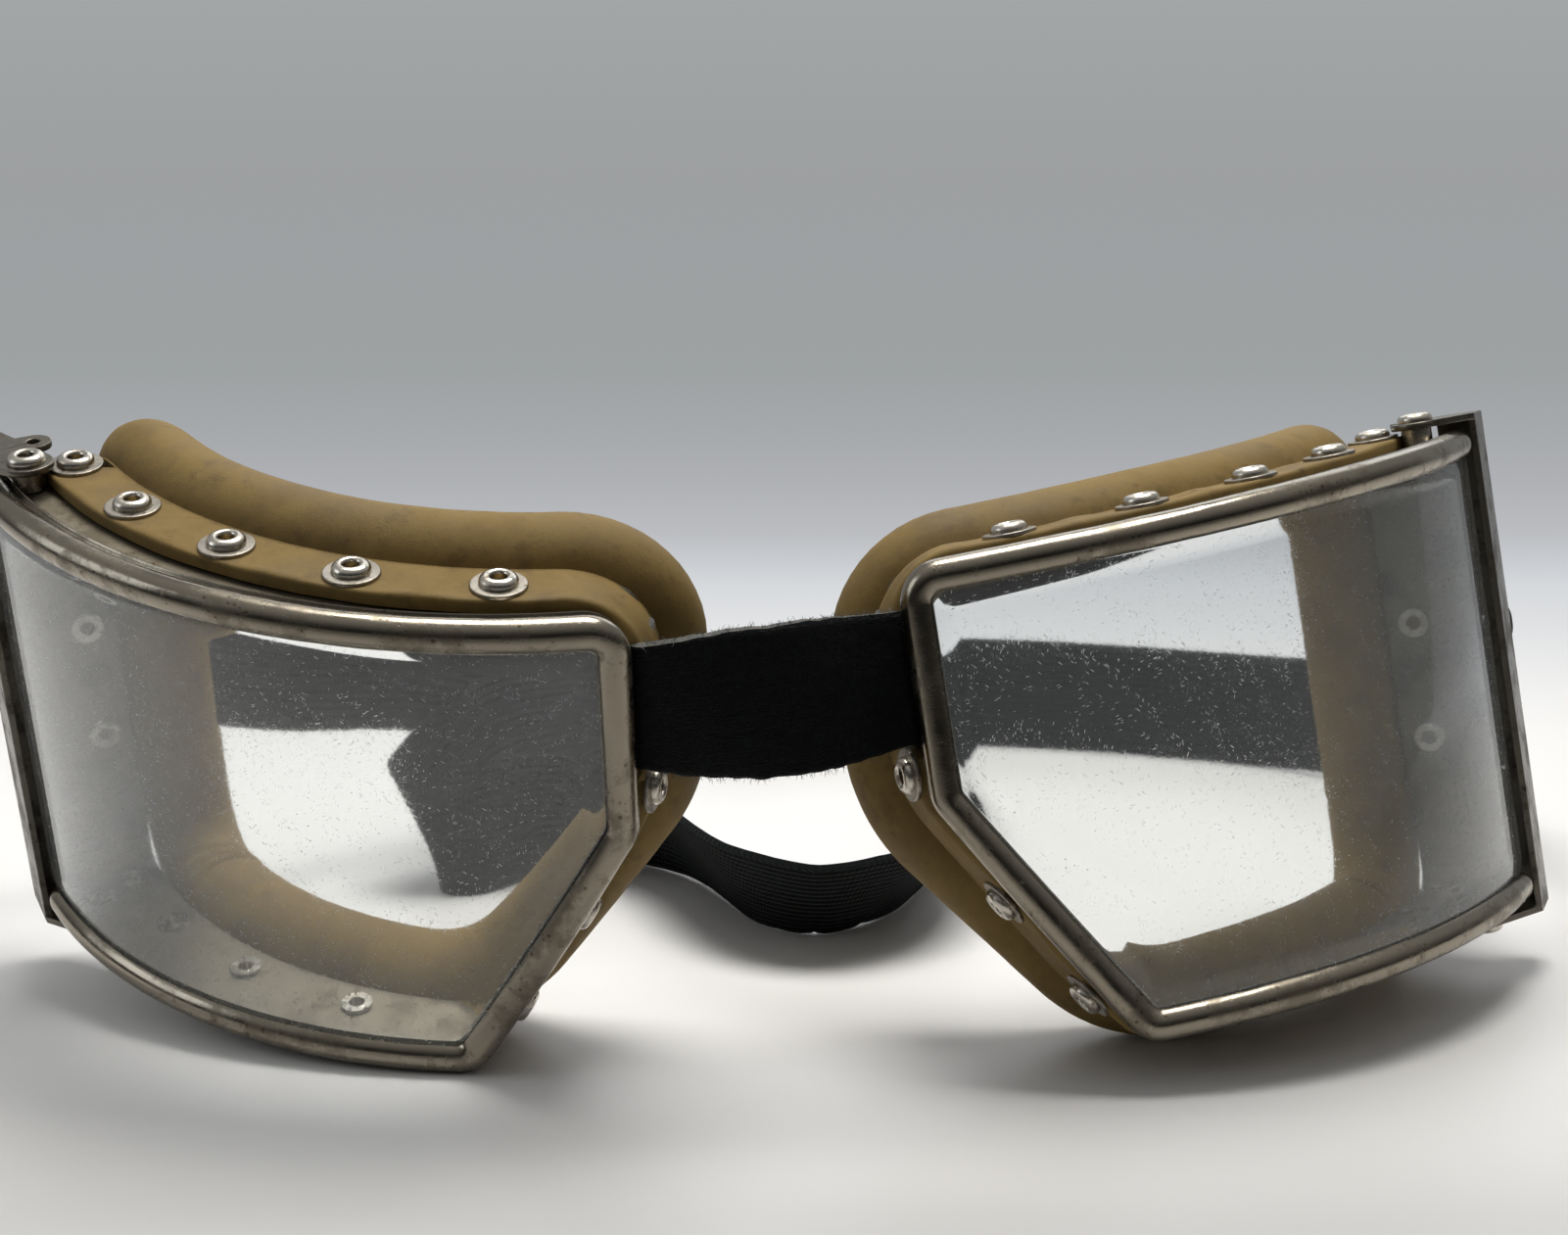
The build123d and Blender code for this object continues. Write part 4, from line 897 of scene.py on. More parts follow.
# The flange's front edge from its inner to its outer face: height, and how far back it lies
FRONT_EDGE = ((FLANGE_IN, 0.35), (FLANGE_IN + 0.22, 0.05), (FLANGE_OUT - 0.40, 0.0),
              (FLANGE_OUT - 0.10, 0.12))
GUIDE_HEIGHT, GUIDE_DEPTH = 1.5, 6.0
FLANGE_COLUMNS, ROLL_COLUMNS = 12, 46
LEATHER_REACH = (-18.9, -2.6)
GATE_REACH, CORNER_REACH, HELD_SHARE = -5.0, 3.6, 0.96
SWELL, SWELL_START, SWELL_RUN = 0.42, 3.3, 4.5
STEP_LENGTH = 26.0
# The creases fade over this stretch of the roll's turn, and the roll keeps its place near both its ends
INNER_START, INNER_RUN, ROLL_HELD = 0.38, 0.56, 0.06
CREASE_HALF, LIP_AWAY, LIP_HALF, LIP_SHARE = 0.95, 2.6, 1.6, 0.35


def held_back(guide):
    """How much of the flange is missing: nearly all beside the leather and at the gate's two corners."""
    low, high = LEATHER_REACH
    at_leather = (guide[:, 0] < 0.35) & (guide[:, 2] < high) & (guide[:, 2] > low)
    past_end = (guide[:, :2] - END_POINT[:2]) @ END_OUT[:2]
    top_end, low_end = top_height(*END_POINT[:2]), bottom_height(*END_POINT[:2])
    near_corner = np.minimum(np.abs(guide[:, 2] - top_end), np.abs(guide[:, 2] - low_end)) < CORNER_REACH
    return np.where(at_leather | ((past_end > GATE_REACH) & near_corner), HELD_SHARE, 0.0)


def flange_columns(guide):
    """The outlines of the flange's front edge, and those of its outer face back to the roll."""
    cut_back = held_back(guide)
    outer_back, inner_back = roll_line(0.0), roll_line(1.0)

    def outline(height, share, pull):
        up = (height - FLANGE_IN) / (FLANGE_OUT - FLANGE_IN)
        corner = SHEET_CORNER + height + (FLANGE_NOSE_CORNER - SHEET_CORNER - FLANGE_OUT) * up
        front = flange_line(height, FLANGE_FRONT + pull, corner)
        back = inner_back * (1 - up) + outer_back * up
        mix = (cut_back + (1 - cut_back) * share)[:, None]
        return front * (1 - mix) + back * mix

    edge = [outline(height, 0.0, pull) for height, pull in FRONT_EDGE]
    return edge, [outline(FLANGE_OUT, share, 0.0) for share in np.linspace(0.05, 0.97, FLANGE_COLUMNS)]


def shape_flange(flange, edge_count, guide):
    """Swells the rubber between the washers, and makes its cut front edge uneven."""
    outer = flange[edge_count:]
    spots = eyelet_spots(FLANGE_OUT)
    raised = flange_line(FLANGE_OUT + 1.0, FLANGE_FRONT) - flange_line(FLANGE_OUT, FLANGE_FRONT)
    gap = np.min(np.linalg.norm(outer[:, :, None] - spots, axis=3), axis=2)
    swell = np.clip((gap - SWELL_START) / SWELL_RUN, 0, 1)
    swell = swell * swell * (3 - 2 * swell)
    shares = np.linspace(0, 1, len(outer))
    body_share = np.sin(np.pi * np.clip(shares, 0.12, 1.0))[:, None]
    outer += (SWELL * swell * body_share)[..., None] * raised[None]
    wave = np.array([0.16 * ripple(p, 5.0, 2.2) + 0.10 * ripple(p, 16.0, 7.7) for p in guide])
    for row in range(len(flange)):
        flange[row, :, 1] += wave * (1 - row / len(flange))


def shape_roll(roll, side):
    """Gives the roll its uneven thickness, its creases on the inner side and a fine unevenness."""
    count = roll.shape[1]
    middle = roll_line(0.0, 0.0)
    index = np.arange(count)
    size = 1 + 0.012 * np.array([ripple(p, 14.0, 3.0 if side == "left" else 9.0) for p in middle])
    for place, amount in ROLL_STEPS[side]:
        near = np.clip(1 - (index - place) / STEP_LENGTH, 0, 1) * (index >= place)
        size -= amount / ROLL_RADIUS * near
    for row in range(len(roll)):
        share = row / (len(roll) - 1)
        inner = math.sin(math.pi * min(max((share - INNER_START) / INNER_RUN, 0.0), 1.0))
        held = min(1.0, share / ROLL_HELD, (1 - share) / ROLL_HELD)
        away = roll[row] - middle
        change = 1 + (size - 1) * held
        for place, amount in CREASES[side]:
            past = index - (place + 2.2 * math.sin(7 * share + place))
            depth = amount / ROLL_RADIUS
            change -= depth * np.exp(-(past / CREASE_HALF) ** 2) * inner
            change += LIP_SHARE * depth * np.exp(-((past - LIP_AWAY) / LIP_HALF) ** 2) * inner
        roll[row] = middle + away * change[:, None]
        for c in range(count):
            roll[row, c] += away[c] / ROLL_RADIUS * 0.035 * ripple(roll[row, c], 2.8, 5.0) * held


def make_cushion(side, finishes):
    """The moulded rubber: a flange riveted round the wall, pulled in at each washer, and the round roll."""
    guide = flange_line(GUIDE_HEIGHT, GUIDE_DEPTH)
    edge, outer = flange_columns(guide)
    roll = [roll_line(share) for share in np.linspace(0.0, 1.0, ROLL_COLUMNS)]
    grid = np.array(edge + outer + roll)
    shape_flange(grid[:-ROLL_COLUMNS], len(edge), guide)
    shape_roll(grid[-ROLL_COLUMNS:], side)
    faces = skin_faces(*grid.shape[:2], True, True)
    piece = add_mesh(side + "_rubber_cushion", placed(side, grid), faces, [finishes["rubber"]],
                     smooth_angle=50)
    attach(piece, side + "_eyepiece")
    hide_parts(side + "_face_cushion")


# Leather, webbing and their loose fibres

FINE_SAMPLES = 2400


def spline(points, at):
    """A smooth line through points, with marks at their own distances. Returns it at those lengths."""
    points = np.asarray(points, float)
    marks = walk(points)
    n = len(points)
    steps = np.diff(marks)
    rows = np.zeros((n, n))
    rows[0, 0] = rows[-1, -1] = 1
    right = np.zeros((n, points.shape[1]))
    for i in range(1, n - 1):
        rows[i, i - 1:i + 2] = steps[i - 1], 2 * (steps[i - 1] + steps[i]), steps[i]
        right[i] = 6 * ((points[i + 1] - points[i]) / steps[i] - (points[i] - points[i - 1]) / steps[i - 1])
    bends = np.linalg.solve(rows, right)
    at = np.clip(at, 0, marks[-1])
    k = np.clip(np.searchsorted(marks, at, side="right") - 1, 0, n - 2)
    h = steps[k][:, None]
    a = (marks[k + 1][:, None] - at[:, None]) / h
    b = 1 - a
    bend = (a ** 3 - a) * bends[k] + (b ** 3 - b) * bends[k + 1]
    return a * points[k] + b * points[k + 1] + bend * h * h / 6


def spline_of(points, leans, step):
    """Evenly spaced middles and leans along the smooth line through the stations."""
    marks = walk(np.asarray(points, float))
    fine = np.linspace(0, marks[-1], FINE_SAMPLES)
    line = spline(points, fine)
    along = walk(line)
    count = int(along[-1] / step) + 1
    at = np.interp(np.linspace(0, along[-1], count), along, fine)
    middles = spline(points, at)
    leans = np.asarray(leans, float)
    mixed_leans = np.stack([np.interp(at, marks, leans[:, k]) for k in range(3)], -1)
    return middles, mixed_leans


def frames_along(middles, leans):
    """At each middle, the way across the band's thickness and the way up its width."""
    along = np.gradient(middles, axis=0)
    along /= np.linalg.norm(along, axis=1)[:, None]
    across = np.cross(along, leans)
    across /= np.linalg.norm(across, axis=1)[:, None]
    return across, np.cross(across, along)


def fibres(roots, ways, lengths, width):
    """Thin tapered three-sided hairs, each bent a little, as points and faces."""
    points, faces = [], []
    for root, way, length in zip(roots, ways, lengths):
        way = unit(np.asarray(way, float))
        side_way = unit(np.cross(way, (0.31, 0.52, 0.79)))
        other = np.cross(way, side_way)
        droop = side_way * draws.normal(0, 0.35) + other * draws.normal(0, 0.35) + np.array([0, 0, -0.15])
        start = len(points)
        for k, share in enumerate((0.0, 0.4, 0.75)):
            centre = root + way * length * share + droop * length * share ** 2
            size = width * (1 - 0.55 * share)
            for turn in (0, 2.094, 4.189):
                points.append(centre + side_way * math.cos(turn) * size + other * math.sin(turn) * size)
        points.append(root + way * length + droop * length)
        for ring in range(2):
            for k in range(3):
                a, b = start + 3 * ring + k, start + 3 * ring + (k + 1) % 3
                faces.append((a, b, b + 3, a + 3))
        faces.append((start + 2, start + 1, start))
        tip = start + 9
        faces += [(start + 6 + k, start + 6 + (k + 1) % 3, tip) for k in range(3)]
    return np.array(points), faces


STRAP_WIDTH, STRAP_SHEET = 18.5, 1.3
RIB_PITCH, RIB_HEIGHT, YARN_PITCH = 1.16, 0.075, 0.62
WEBBING_SAMPLES, EDGE_INSET, EDGE_ROUND = 92, 0.06, 0.55
# The frayed zones start this far from the band's middle, and grow over this run
FRAY_START, FRAY_RUN = 6, 3.2
# Bands and fibres stay this high above the table
BAND_FLOOR, FIBRE_FLOOR = 0.02, 0.03


def webbing_section():
    """Half the webbing's outline, (across, half thickness) at each sample, with its ribs."""
    across = np.linspace(-STRAP_WIDTH / 2 + EDGE_INSET, STRAP_WIDTH / 2 - EDGE_INSET, WEBBING_SAMPLES)
    edge = np.clip((STRAP_WIDTH / 2 - np.abs(across)) / EDGE_ROUND, 0, 1)
    rib = RIB_HEIGHT * np.cos(2 * math.pi * across / RIB_PITCH)
    return across, (STRAP_SHEET / 2 - 0.085 + rib) * (0.45 + 0.55 * np.sqrt(edge))


def ribbon_mesh(middles, leans, seed, start_mark=0.0, fray=1.0):
    """A ribbed band along its middles. Returns points, faces and cloth coordinates, open at neither end."""
    across_way, upper = frames_along(middles, leans)
    across, half = webbing_section()
    marks = walk(middles) + start_mark
    rows, cloth = [], []
    for i, middle in enumerate(middles):
        low_fray = 0.16 * fray * ripple((marks[i], seed, 0), 0.9) + 0.12 * ripple((marks[i], seed, 5), 4.0)
        high_fray = 0.08 * ripple((marks[i], seed, 9), 1.3)
        stretch = np.where(across < -FRAY_START, low_fray * (-across - FRAY_START) / FRAY_RUN, 0)
        stretch = np.where(across > FRAY_START, high_fray * (across - FRAY_START) / FRAY_RUN, stretch)
        place = across + np.where(across < 0, np.abs(stretch), -np.abs(stretch))
        ring = [middle + upper[i] * w + across_way[i] * t for w, t in zip(place, half)]
        ring += [middle + upper[i] * w - across_way[i] * t for w, t in zip(place[::-1], half[::-1])]
        rows.append(ring)
        cloth += [(marks[i], w) for w in across] + [(marks[i], w) for w in across[::-1]]
    grid = np.array(rows)
    lowest = grid[:, :, 2].min(axis=1)
    grid[:, :, 2] += np.maximum(BAND_FLOOR - lowest, 0)[:, None]
    rings, columns = grid.shape[:2]
    faces = skin_faces(rings, columns, False, True)
    faces.append(list(range(columns))[::-1])
    faces.append([(rings - 1) * columns + c for c in range(columns)])
    return grid, faces, np.array(cloth)


def edge_fibres(grid, count, chance_low=0.75, length=1.3, width=0.035):
    """Loose threads at both edges of a ribbon mesh."""
    rings, columns = grid.shape[:2]
    half = columns // 2
    roots, ways, lengths = [], [], []
    for _ in range(count):
        i = int(draws.integers(2, rings - 2))
        low = draws.random() < chance_low
        column, inner = (0, 3) if low else (half - 1, half - 4)
        way = unit(grid[i, column] - grid[i, inner])
        slide = unit(grid[i + 1, column] - grid[i - 1, column])
        roots.append(grid[i, column] - way * 0.15)
        ways.append(way + slide * draws.normal(0, 0.9) + draws.normal(0, 0.25, 3))
        lengths.append(length * draws.uniform(0.35, 1.0))
    points, faces = fibres(roots, ways, lengths, width)
    points[:, 2] = np.maximum(points[:, 2], FIBRE_FLOOR)
    return points, faces


def end_fibres(ring, way, count, sink, spread, lengths, width):
    """Loose threads at a band's cut end, rooted this deep in it."""
    picks = draws.integers(0, len(ring), count)
    ways = [way + draws.normal(0, spread, 3) for _ in picks]
    return fibres(ring[picks] - way * sink, ways, draws.uniform(*lengths, len(picks)), width)


def join_up(parts):
    """One set of points, faces and cloth coordinates from several."""
    points, faces, cloth = [], [], []
    total = 0
    for some_points, some_faces, some_cloth in parts:
        some_points = np.asarray(some_points, float).reshape(-1, 3)
        points.append(some_points)
        faces += [tuple(v + total for v in f) for f in some_faces]
        cloth.append(some_cloth if some_cloth is not None else np.tile((0.3, 0.3), (len(some_points), 1)))
        total += len(some_points)
    return np.concatenate(points), faces, np.concatenate(cloth)


STRAP_ROUTE = (
    ((-95.5, 53.0, 38.5), (-0.10, 0.10, 1.00)),
    ((-88.0, 57.5, 35.5), (-0.10, 0.10, 1.00)),
    ((-79.0, 59.0, 33.5), (-0.10, 0.08, 1.00)),
    ((-69.0, 62.0, 31.6), (-0.10, 0.05, 1.00)),
    ((-58.0, 69.5, 29.8), (-0.05, 0.08, 1.00)),
    ((-46.6, 81.0, 25.9), (0.00, 0.22, 1.00)),
    ((-36.3, 91.0, 20.8), (-0.05, 0.60, 0.80)),
    ((-27.5, 101.0, 15.5), (-0.35, 0.80, 0.45)),
    ((-19.5, 115.0, 11.0), (-0.35, 0.60, 0.75)),
    ((-9.0, 128.5, None), (-0.10, 0.20, 1.00)),
    ((7.0, 136.0, None), (0.00, 0.00, 1.00)),
    ((28.0, 136.5, None), (0.00, 0.00, 1.00)),
    ((50.0, 132.5, None), (0.00, 0.00, 1.00)),
    ((72.0, 125.5, None), (0.00, 0.00, 1.00)),
    ((90.0, 114.5, 10.5), (0.10, 0.00, 1.00)),
    ((100.5, 98.0, 15.0), (0.15, 0.00, 1.00)),
    ((102.5, 79.0, 23.0), (0.20, 0.10, 1.00)),
)
TAIL_ROUTE = (
    ((-43.6, 73.0, 16.0), (-0.20, 0.10, 0.97)),
    ((-47.6, 68.2, 12.2), (-0.35, 0.03, 0.93)),
    ((-50.2, 63.6, 9.5), (-0.41, 0.00, 0.91)),
    ((-49.0, 59.4, 9.0), (-0.41, 0.00, 0.91)),
    ((-45.2, 58.0, 8.9), (-0.41, 0.00, 0.91)),
    ((-41.0, 59.8, 8.9), (-0.36, -0.14, 0.92)),
    ((-35.4, 64.0, None), (-0.26, -0.34, 0.90)),
    ((-28.4, 68.0, None), (-0.20, -0.52, 0.83)),
    ((-19.0, 63.5, None), (-0.42, -0.34, 0.84)),
    ((-10.5, 48.5, None), (-0.45, -0.36, 0.82)),
    ((-4.0, 38.5, None), (-0.28, -0.60, 0.75)),
    ((4.0, 35.0, None), (0.02, -0.72, 0.69)),
    ((14.0, 40.0, None), (0.46, -0.52, 0.72)),
    ((21.0, 52.5, None), (0.50, -0.20, 0.84)),
    ((23.5, 68.0, None), (0.30, -0.04, 0.95)),
    ((22.5, 81.0, None), (0.12, 0.00, 0.99)),
    ((20.5, 93.0, None), (0.00, 0.00, 1.00)),
)
LAP_SHARES, LAP_DROPS, LAP_GAP = (0.30, 0.284), (5.0, 6.2), 1.0
LOOP_TAIL, SLOT_DROP, LOOP_DEPTH, WEB_OUT = 13.0, 28.0, 2.7, 3.7


def resting(route):
    """The stations in the row frame, with the heights of those that stand on the table filled in."""
    middles, leans = [], []
    for (x, y, z), lean in route:
        lean = unit(np.array(lean, float))
        if z is None:
            z = (STRAP_WIDTH * lean[2] + STRAP_SHEET * math.sqrt(1 - lean[2] ** 2)) / 2
        middles.append(np.array([x, y, z]) + TABLE_SHIFT)
        leans.append(lean)
    return middles, leans


def gate_point(side, out, depth, height):
    """A point in the frame of the gate, which stands at the outer end of the lens."""
    return placed(side, END_POINT + END_OUT * out + END_IN * depth + np.array([0, 0, height]))[0]


def loop_lead(side, distances):
    """The strap's first stations past its sewn loop, in line with it, and their leans."""
    up = gate_point(side, 0, 0, 1) - gate_point(side, 0, 0, 0)
    places = [gate_point(side, WEB_OUT + LOOP_TAIL + d, LOOP_DEPTH, -SLOT_DROP) for d in distances]
    return places, [up] * len(places)


def head_line(step):
    """The head strap's middles and leans from one sewn loop to the other."""
    left, left_leans = loop_lead("left", (0.3, 3.3, 6.3))
    right, right_leans = loop_lead("right", (6.3, 3.3, 0.3))
    route, leans = resting(STRAP_ROUTE)
    return spline_of(left + route + right, left_leans + leans + right_leans, step)


STRAP_STEP, END_STEPS = 0.75, 5


def run_on(middles):
    """A few steps straight on past the last point."""
    lead = unit(middles[-1] - middles[-2])
    return np.array([middles[-1] + lead * STRAP_STEP * (k + 1) for k in range(END_STEPS)])


def make_head_strap(finishes):
    """The webbing from gate to gate: two end stretches in line with their gates, and the long back."""
    middles, leans = head_line(STRAP_STEP)
    middles = np.concatenate([run_on(middles[::-1])[::-1], middles, run_on(middles)])
    leans = np.concatenate([[leans[0]] * END_STEPS, leans, [leans[-1]] * END_STEPS])
    marks = walk(middles)
    count = len(middles)
    left_cut, right_cut = 80, count - 90
    stretches = (
        # name, first and last row, hairs, the bodies that it joins, the rows it turns between, its rest
        ("strap_left_end", 0, left_cut, 60, "left_gate", "left_eyepiece", (8, 60), "left_strap_gate"),
        ("strap_back", left_cut, right_cut, 240, "left_eyepiece", "right_eyepiece",
         (int(count * 0.30), int(count * 0.74)), "table"),
        ("strap_right_end", right_cut, count - 1, 60, "right_eyepiece", "right_gate",
         (count - 70, count - 9), "right_strap_gate"))
    for name, first, last, hair_count, from_body, to_body, turn_rows, rest in stretches:
        part = slice(first, last + 1)
        grid, faces, cloth = ribbon_mesh(middles[part], leans[part], 3.0, marks[first])
        hairs, hair_faces = edge_fibres(grid, hair_count)
        points, faces, cloth = join_up([(grid, faces, cloth), (hairs, hair_faces, None)])
        piece = add_mesh(name, points, faces, [finishes["webbing"]], cloth)
        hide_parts("head_strap")
        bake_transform(piece)


PLANE_STEP = 5.0
# Where the tail's and the loops' cloth coordinates start, so that their weave isn't the strap's again
TAIL_MARK, LOOP_MARK = 400.0, 700.0
TAIL_HAIRS, TAIL_END_HAIRS, LOOP_HAIRS, LOOP_END_HAIRS = 190, 46, 40, 26


def make_strap_tail(finishes):
    """The loose end: sewn to the strap, folded back at the left and lying in a bow on the table."""
    planes, leans = head_line(PLANE_STEP)
    across, upper = frames_along(planes, leans)
    lap_middles, lap_leans = [], []
    for share, drop in zip(LAP_SHARES, LAP_DROPS):
        i = round(share * (len(planes) - 1))
        near = across[i] if across[i][1] < 0 else -across[i]
        lap_middles.append(planes[i] + near * (STRAP_SHEET + LAP_GAP) - upper[i] * drop)
        lap_leans.append(upper[i])
    route, route_leans = resting(TAIL_ROUTE)
    middles, leans = spline_of(lap_middles + route, lap_leans + route_leans, STRAP_STEP)
    grid, faces, cloth = ribbon_mesh(middles, leans, 8.0, TAIL_MARK)
    hairs, hair_faces = edge_fibres(grid, TAIL_HAIRS)
    way = unit(middles[-1] - middles[-3])
    end_hairs, end_faces = end_fibres(grid[-1], way, TAIL_END_HAIRS, 0.2, 0.35, (0.7, 2.2), 0.045)
    end_hairs[:, 2] = np.maximum(end_hairs[:, 2], FIBRE_FLOOR)
    points, faces, cloth = join_up([(grid, faces, cloth), (hairs, hair_faces, None),
                                    (end_hairs, end_faces, None)])
    piece = add_mesh("strap_loose_tail", points, faces, [finishes["webbing"]], cloth)
    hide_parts("strap_tail")
    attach(piece, "left_eyepiece")


# The loop's layers stand this far either side of its middle depth. Its route is (out, depth), in the
# gate's frame: in along the outer layer, round the rear strip and back along the inner one.
LAYER_HALF, LOOP_SAMPLES = 0.66, 130
LOOP_ROUTE = (
    (WEB_OUT + LOOP_TAIL, LOOP_DEPTH + LAYER_HALF), (WEB_OUT + 6.5, LOOP_DEPTH + LAYER_HALF + 0.05),
    (WEB_OUT + 2.4, 3.75), (WEB_OUT + 0.6, 4.05), (3.2, 4.12), (2.45, 3.95), (2.12, 3.45), (2.10, 2.7),
    (2.12, 1.95), (2.45, 1.42), (3.2, 1.28), (WEB_OUT + 0.6, 1.34), (WEB_OUT + 2.4, 1.70),
    (WEB_OUT + 6.5, LOOP_DEPTH - LAYER_HALF - 0.05), (WEB_OUT + LOOP_TAIL, LOOP_DEPTH - LAYER_HALF))
SEAMS_OUT = (6.2, 11.4)
STITCH_LEVELS = np.arange(-7.4, 7.5, 1.55)
STITCH_HALF, STITCH_SLANT, STITCH_RADIUS = 0.55, 0.1, 0.13


def loop_stitches(side):
    """Two seams through the loop, with a row of slanted stitches on each face."""
    outward = gate_point(side, 0, 1, 0) - gate_point(side, 0, 0, 0)
    stitches = []
    for out in SEAMS_OUT:
        for level in STITCH_LEVELS:
            for depth in (LOOP_DEPTH + 2 * LAYER_HALF + 0.02, LOOP_DEPTH - 2 * LAYER_HALF - 0.02):
                ends = [gate_point(side, WEB_OUT + out + way * STITCH_SLANT, depth,
                                   level - SLOT_DROP + way * STITCH_HALF) for way in (-1, 1)]
                stitches.append(thread(*ends, STITCH_RADIUS, outward))
    return stitches


def make_strap_loop(side, finishes):
    """The sewn end of the strap: it comes in beside itself, goes round the gate's rear strip and back."""
    flat = np.array([(out, depth, 0.0) for out, depth in LOOP_ROUTE])
    line = spline(flat, np.linspace(0, walk(flat)[-1], LOOP_SAMPLES))
    middles = np.array([gate_point(side, out, depth, -SLOT_DROP) for out, depth, _ in line])
    up = gate_point(side, 0, 0, 1) - gate_point(side, 0, 0, 0)
    grid, faces, cloth = ribbon_mesh(middles, np.tile(up, (len(middles), 1)), 5.0, LOOP_MARK, fray=0.6)
    way = unit(middles[0] - middles[2])
    hairs, hair_faces = end_fibres(grid[0], way, LOOP_END_HAIRS, 0.15, 0.4, (0.4, 1.2), 0.04)
    edge, edge_faces = edge_fibres(grid, LOOP_HAIRS)
    parts = [(grid, faces, cloth), (hairs, hair_faces, None), (edge, edge_faces, None)]
    points, faces, cloth = join_up(parts + loop_stitches(side))
    piece = add_mesh(side + "_sewn_loop", points, faces, [finishes["webbing"]], cloth)
    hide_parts(side + "_strap_loop")
    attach(piece, side + "_gate")


def thread(start, stop, radius, outward):
    """One stitch: a short rounded thread between two points, square to the way outward."""
    way = unit(stop - start)
    side_way = unit(np.cross(way, outward))
    rise = np.cross(side_way, way)
    rings, sides = 7, 6
    points = []
    for share in np.linspace(0, 1, rings):
        centre = start + (stop - start) * share
        size = radius * (0.35 + 0.65 * math.sin(math.pi * min(max(share, 0.12), 0.88)))
        for turn in np.linspace(0, 2 * math.pi, sides + 1)[:-1]:
            points.append(centre + side_way * math.cos(turn) * size + rise * math.sin(turn) * size)
    faces = skin_faces(rings, sides, False, True)
    faces.append(list(range(sides))[::-1])
    faces.append([(rings - 1) * sides + k for k in range(sides)])
    return np.array(points), faces, None


LEATHER_WIDTH, LEATHER_SHEET, LEATHER_TOP = 14.7, 1.5, 3.2
# One leg, from its end on the nose wall to the bend into the span, as (x, y) in the eyepiece's frame
LEATHER_LEG = ((-5.25, 8.14), (-4.55, 6.82), (-3.85, 5.49), (-3.24, 4.34), (-2.80, 3.42), (-2.62, 2.78),
               (-2.86, 2.30), (-3.45, 2.08))
# How far the span bows to the front, by share of its run
LEATHER_BOWS = ((0.25, 0.35), (0.5, 0.55), (0.75, 0.35))
LEATHER_STEP, LEATHER_COLUMNS = 0.22, 64
FREE_START, FREE_SHARE = 0.16, 0.68
LEATHER_HAIRS, HAIR_MARGIN = 420, 30


def leather_line():
    """The leather's middles and leans: the left leg, the span and the right leg."""
    middle_z = -LEATHER_TOP - LEATHER_WIDTH / 2
    left = [placed("left", (x, y, middle_z))[0] for x, y in LEATHER_LEG]
    right = [placed("right", (x, y, middle_z))[0] for x, y in LEATHER_LEG][::-1]
    left_up, right_up = (placed(s, (0, 0, 1))[0] - placed(s, (0, 0, 0))[0] for s in SIDES)
    gap = right[0] - left[-1]
    span = [left[-1] + gap * share + np.array([0, -1, 0]) * bow for share, bow in LEATHER_BOWS]
    span_leans = [left_up * (1 - share) + right_up * share for share, _ in LEATHER_BOWS]
    leans = [left_up] * len(left) + span_leans + [right_up] * len(right)
    return spline_of(left + span + right, leans, LEATHER_STEP)


def leather_rings(middles, marks, across, upper):
    """Rings round the leather, each its front face and then its back one, and their cloth coordinates."""
    widths = np.linspace(-0.5, 0.5, LEATHER_COLUMNS)
    grid, cloth = [], []
    for i, middle in enumerate(middles):
        share = marks[i] / marks[-1]
        free = math.sin(math.pi * min(max((share - FREE_START) / FREE_SHARE, 0), 1))
        top = LEATHER_WIDTH / 2 + 0.25 * free + 0.14 * ripple((marks[i], 0, 3), 2.2) * (0.4 + free)
        low = LEATHER_WIDTH / 2 + 1.9 * free + 0.20 * ripple((marks[i], 0, 8), 1.8) * (0.4 + free)
        front, back = [], []
        for w in widths:
            height = w * 2 * (top if w > 0 else low)
            edge = min(1.0, (0.5 - abs(w)) / 0.035)
            thick = LEATHER_SHEET / 2 * (0.72 + 0.28 * math.sqrt(edge))
            cup = 0.55 * free * (1 - (2 * w) ** 2)
            crease = 0.055 * ripple((marks[i] * 0.35, height * 2.0, 1), 1.0)
            crease += 0.10 * ripple((marks[i] * 0.4, height, 6), 2.6)
            base = middle + upper[i] * height + across[i] * cup
            front.append(base + across[i] * (thick + crease * free))
            back.append(base - across[i] * (thick + 0.05 * ripple((marks[i], height, 11), 0.9)))
        grid.append(front + back[::-1])
        cloth += [(marks[i] / LEATHER_WIDTH, w) for w in (*widths, *widths[::-1])]
    return np.array(grid), np.array(cloth)


def leather_hairs(grid, upper):
    """The raw fibres that stand up from the leather's two cut edges."""
    roots, ways, lengths = [], [], []
    for _ in range(LEATHER_HAIRS):
        i = int(draws.integers(HAIR_MARGIN, len(grid) - HAIR_MARGIN))
        high = draws.random() < 0.55
        front, back = (LEATHER_COLUMNS - 1, LEATHER_COLUMNS) if high else (0, -1)
        roots.append(grid[i, front] + (grid[i, back] - grid[i, front]) * draws.random())
        ways.append((upper[i] if high else -upper[i]) + draws.normal(0, 0.55, 3))
        lengths.append(draws.uniform(0.25, 0.85))
    return fibres(roots, ways, lengths, 0.035)


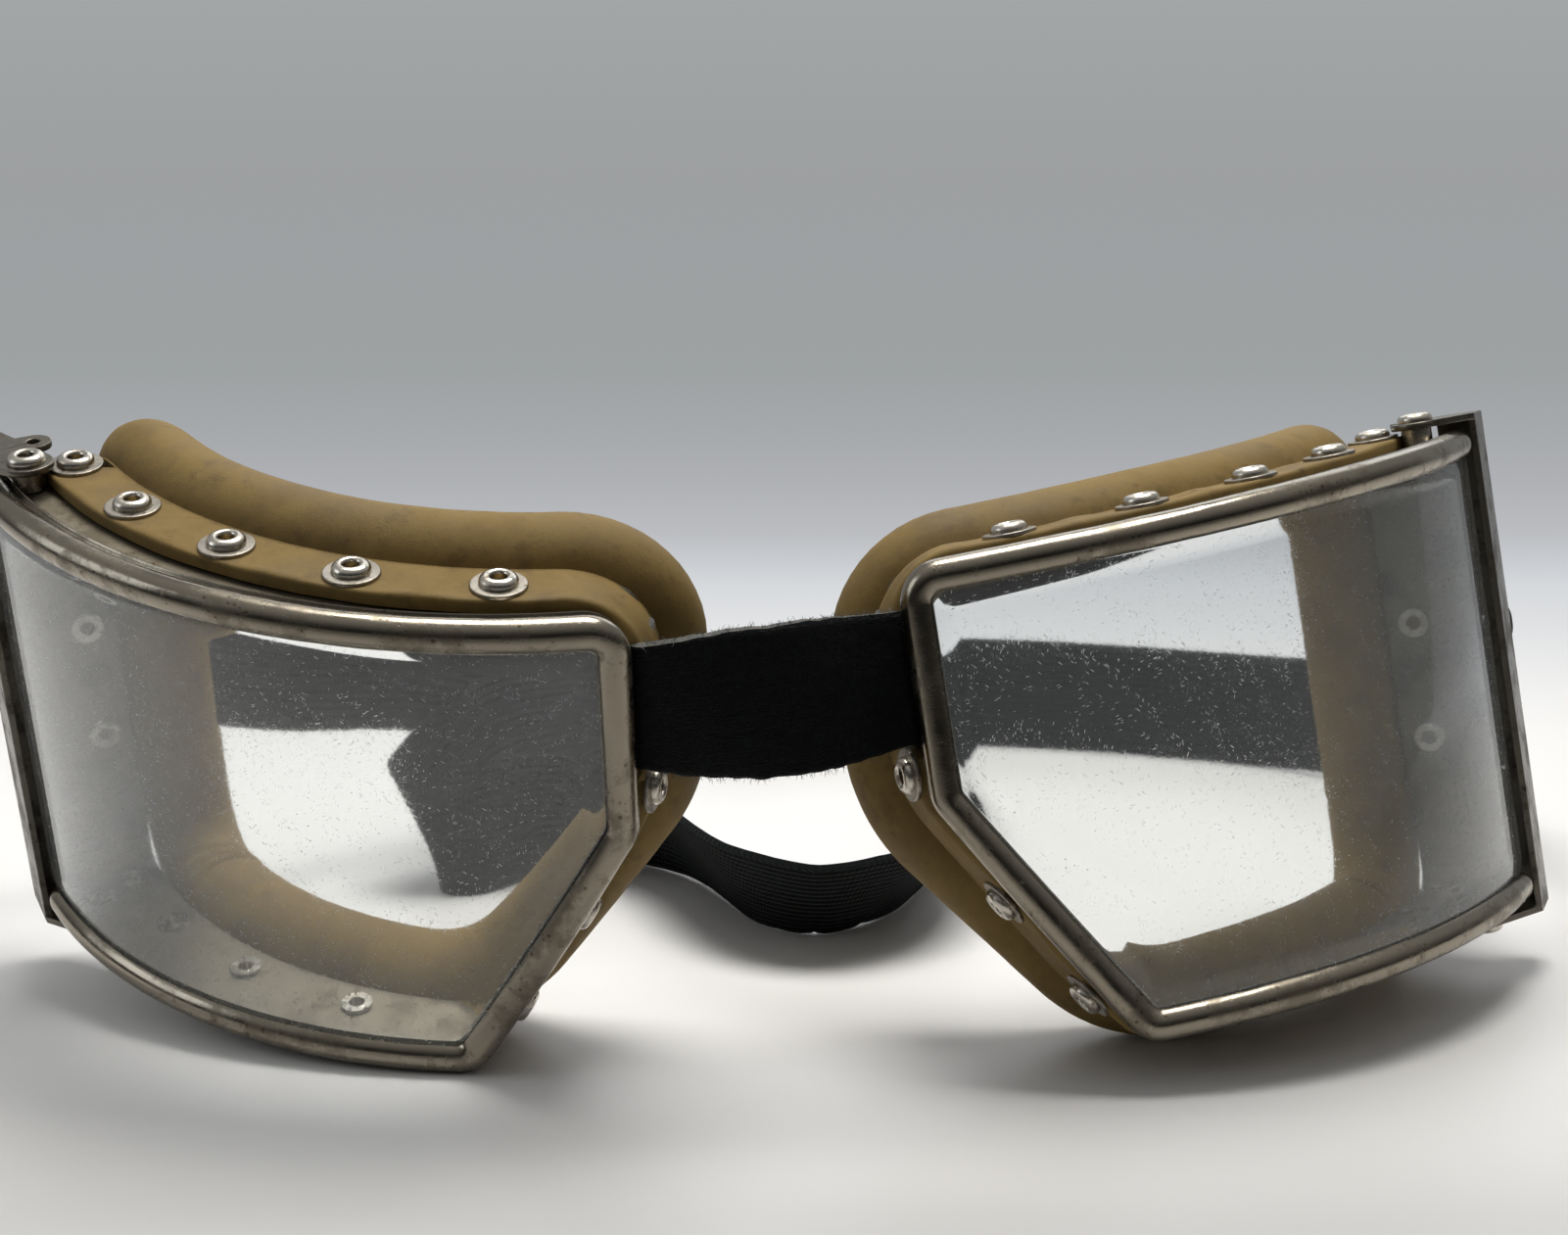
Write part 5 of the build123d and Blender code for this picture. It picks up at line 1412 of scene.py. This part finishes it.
def make_leather(finishes):
    """The nose strap: a leg on each nose wall and a full, slightly sagging span between them."""
    middles, leans = leather_line()
    across, upper = frames_along(middles, leans)
    if across[len(across) // 2][1] > 0:
        across = -across
    marks = walk(middles)
    grid, cloth = leather_rings(middles, marks, across, upper)
    rings, around = grid.shape[:2]
    faces = skin_faces(rings, around, False, True)
    faces.append(list(range(around))[::-1])
    faces.append([(rings - 1) * around + c for c in range(around)])
    hairs, hair_faces = leather_hairs(grid, upper)
    # Smooth leather on the front face, and suede on the back, the edges, the ends and the fibres
    finish_of = [0 if c < LEATHER_COLUMNS - 1 else 1 for c in range(around)] * (rings - 1)
    finish_of += [1] * (2 + len(hair_faces))
    points, faces, cloth = join_up([(grid, faces, cloth), (hairs, hair_faces, None)])
    piece = add_mesh("leather_nose_strap", points, faces, [finishes["leather"], finishes["suede"]], cloth,
                     finish_of)
    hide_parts("nose_leather")
    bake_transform(piece)


# CAD pieces that keep their shape get their finish, and the side walls and strap gates soft edges

NODE_FINISHES = {"side_wall": "wall", "cushion_eyelets": "eyelet", "cushion_washers": "washer",
                 "gate_eyelets": "eyelet", "strap_gate": "gate", "bridge_rivets": "rivet"}
EDGE_WIDTHS = {"side_wall": 0.08, "strap_gate": 0.16}
WELD_GAP, EDGE_ANGLE = 0.01, 35


def finish_nodes(finishes):
    for side in SIDES:
        for name, finish in NODE_FINISHES.items():
            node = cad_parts[side + "_" + name]
            node.data.materials.clear()
            node.data.materials.append(finishes[finish])
            weld = node.modifiers.new("weld", "WELD")
            weld.merge_threshold = WELD_GAP * MM
            if name in EDGE_WIDTHS:
                edge = node.modifiers.new("edge", "BEVEL")
                edge.width = EDGE_WIDTHS[name] * MM
                edge.segments = 2
                edge.limit_method = "ANGLE"
                edge.angle_limit = math.radians(EDGE_ANGLE)
                edge.harden_normals = True


make_camera()
make_stage()
make_light()
finishes = make_finishes()
finish_nodes(finishes)
for side in SIDES:
    make_rim(side, finishes)
    make_lens(side, finishes)
    make_cushion(side, finishes)
    make_strap_loop(side, finishes)
make_head_strap(finishes)
make_strap_tail(finishes)
make_leather(finishes)
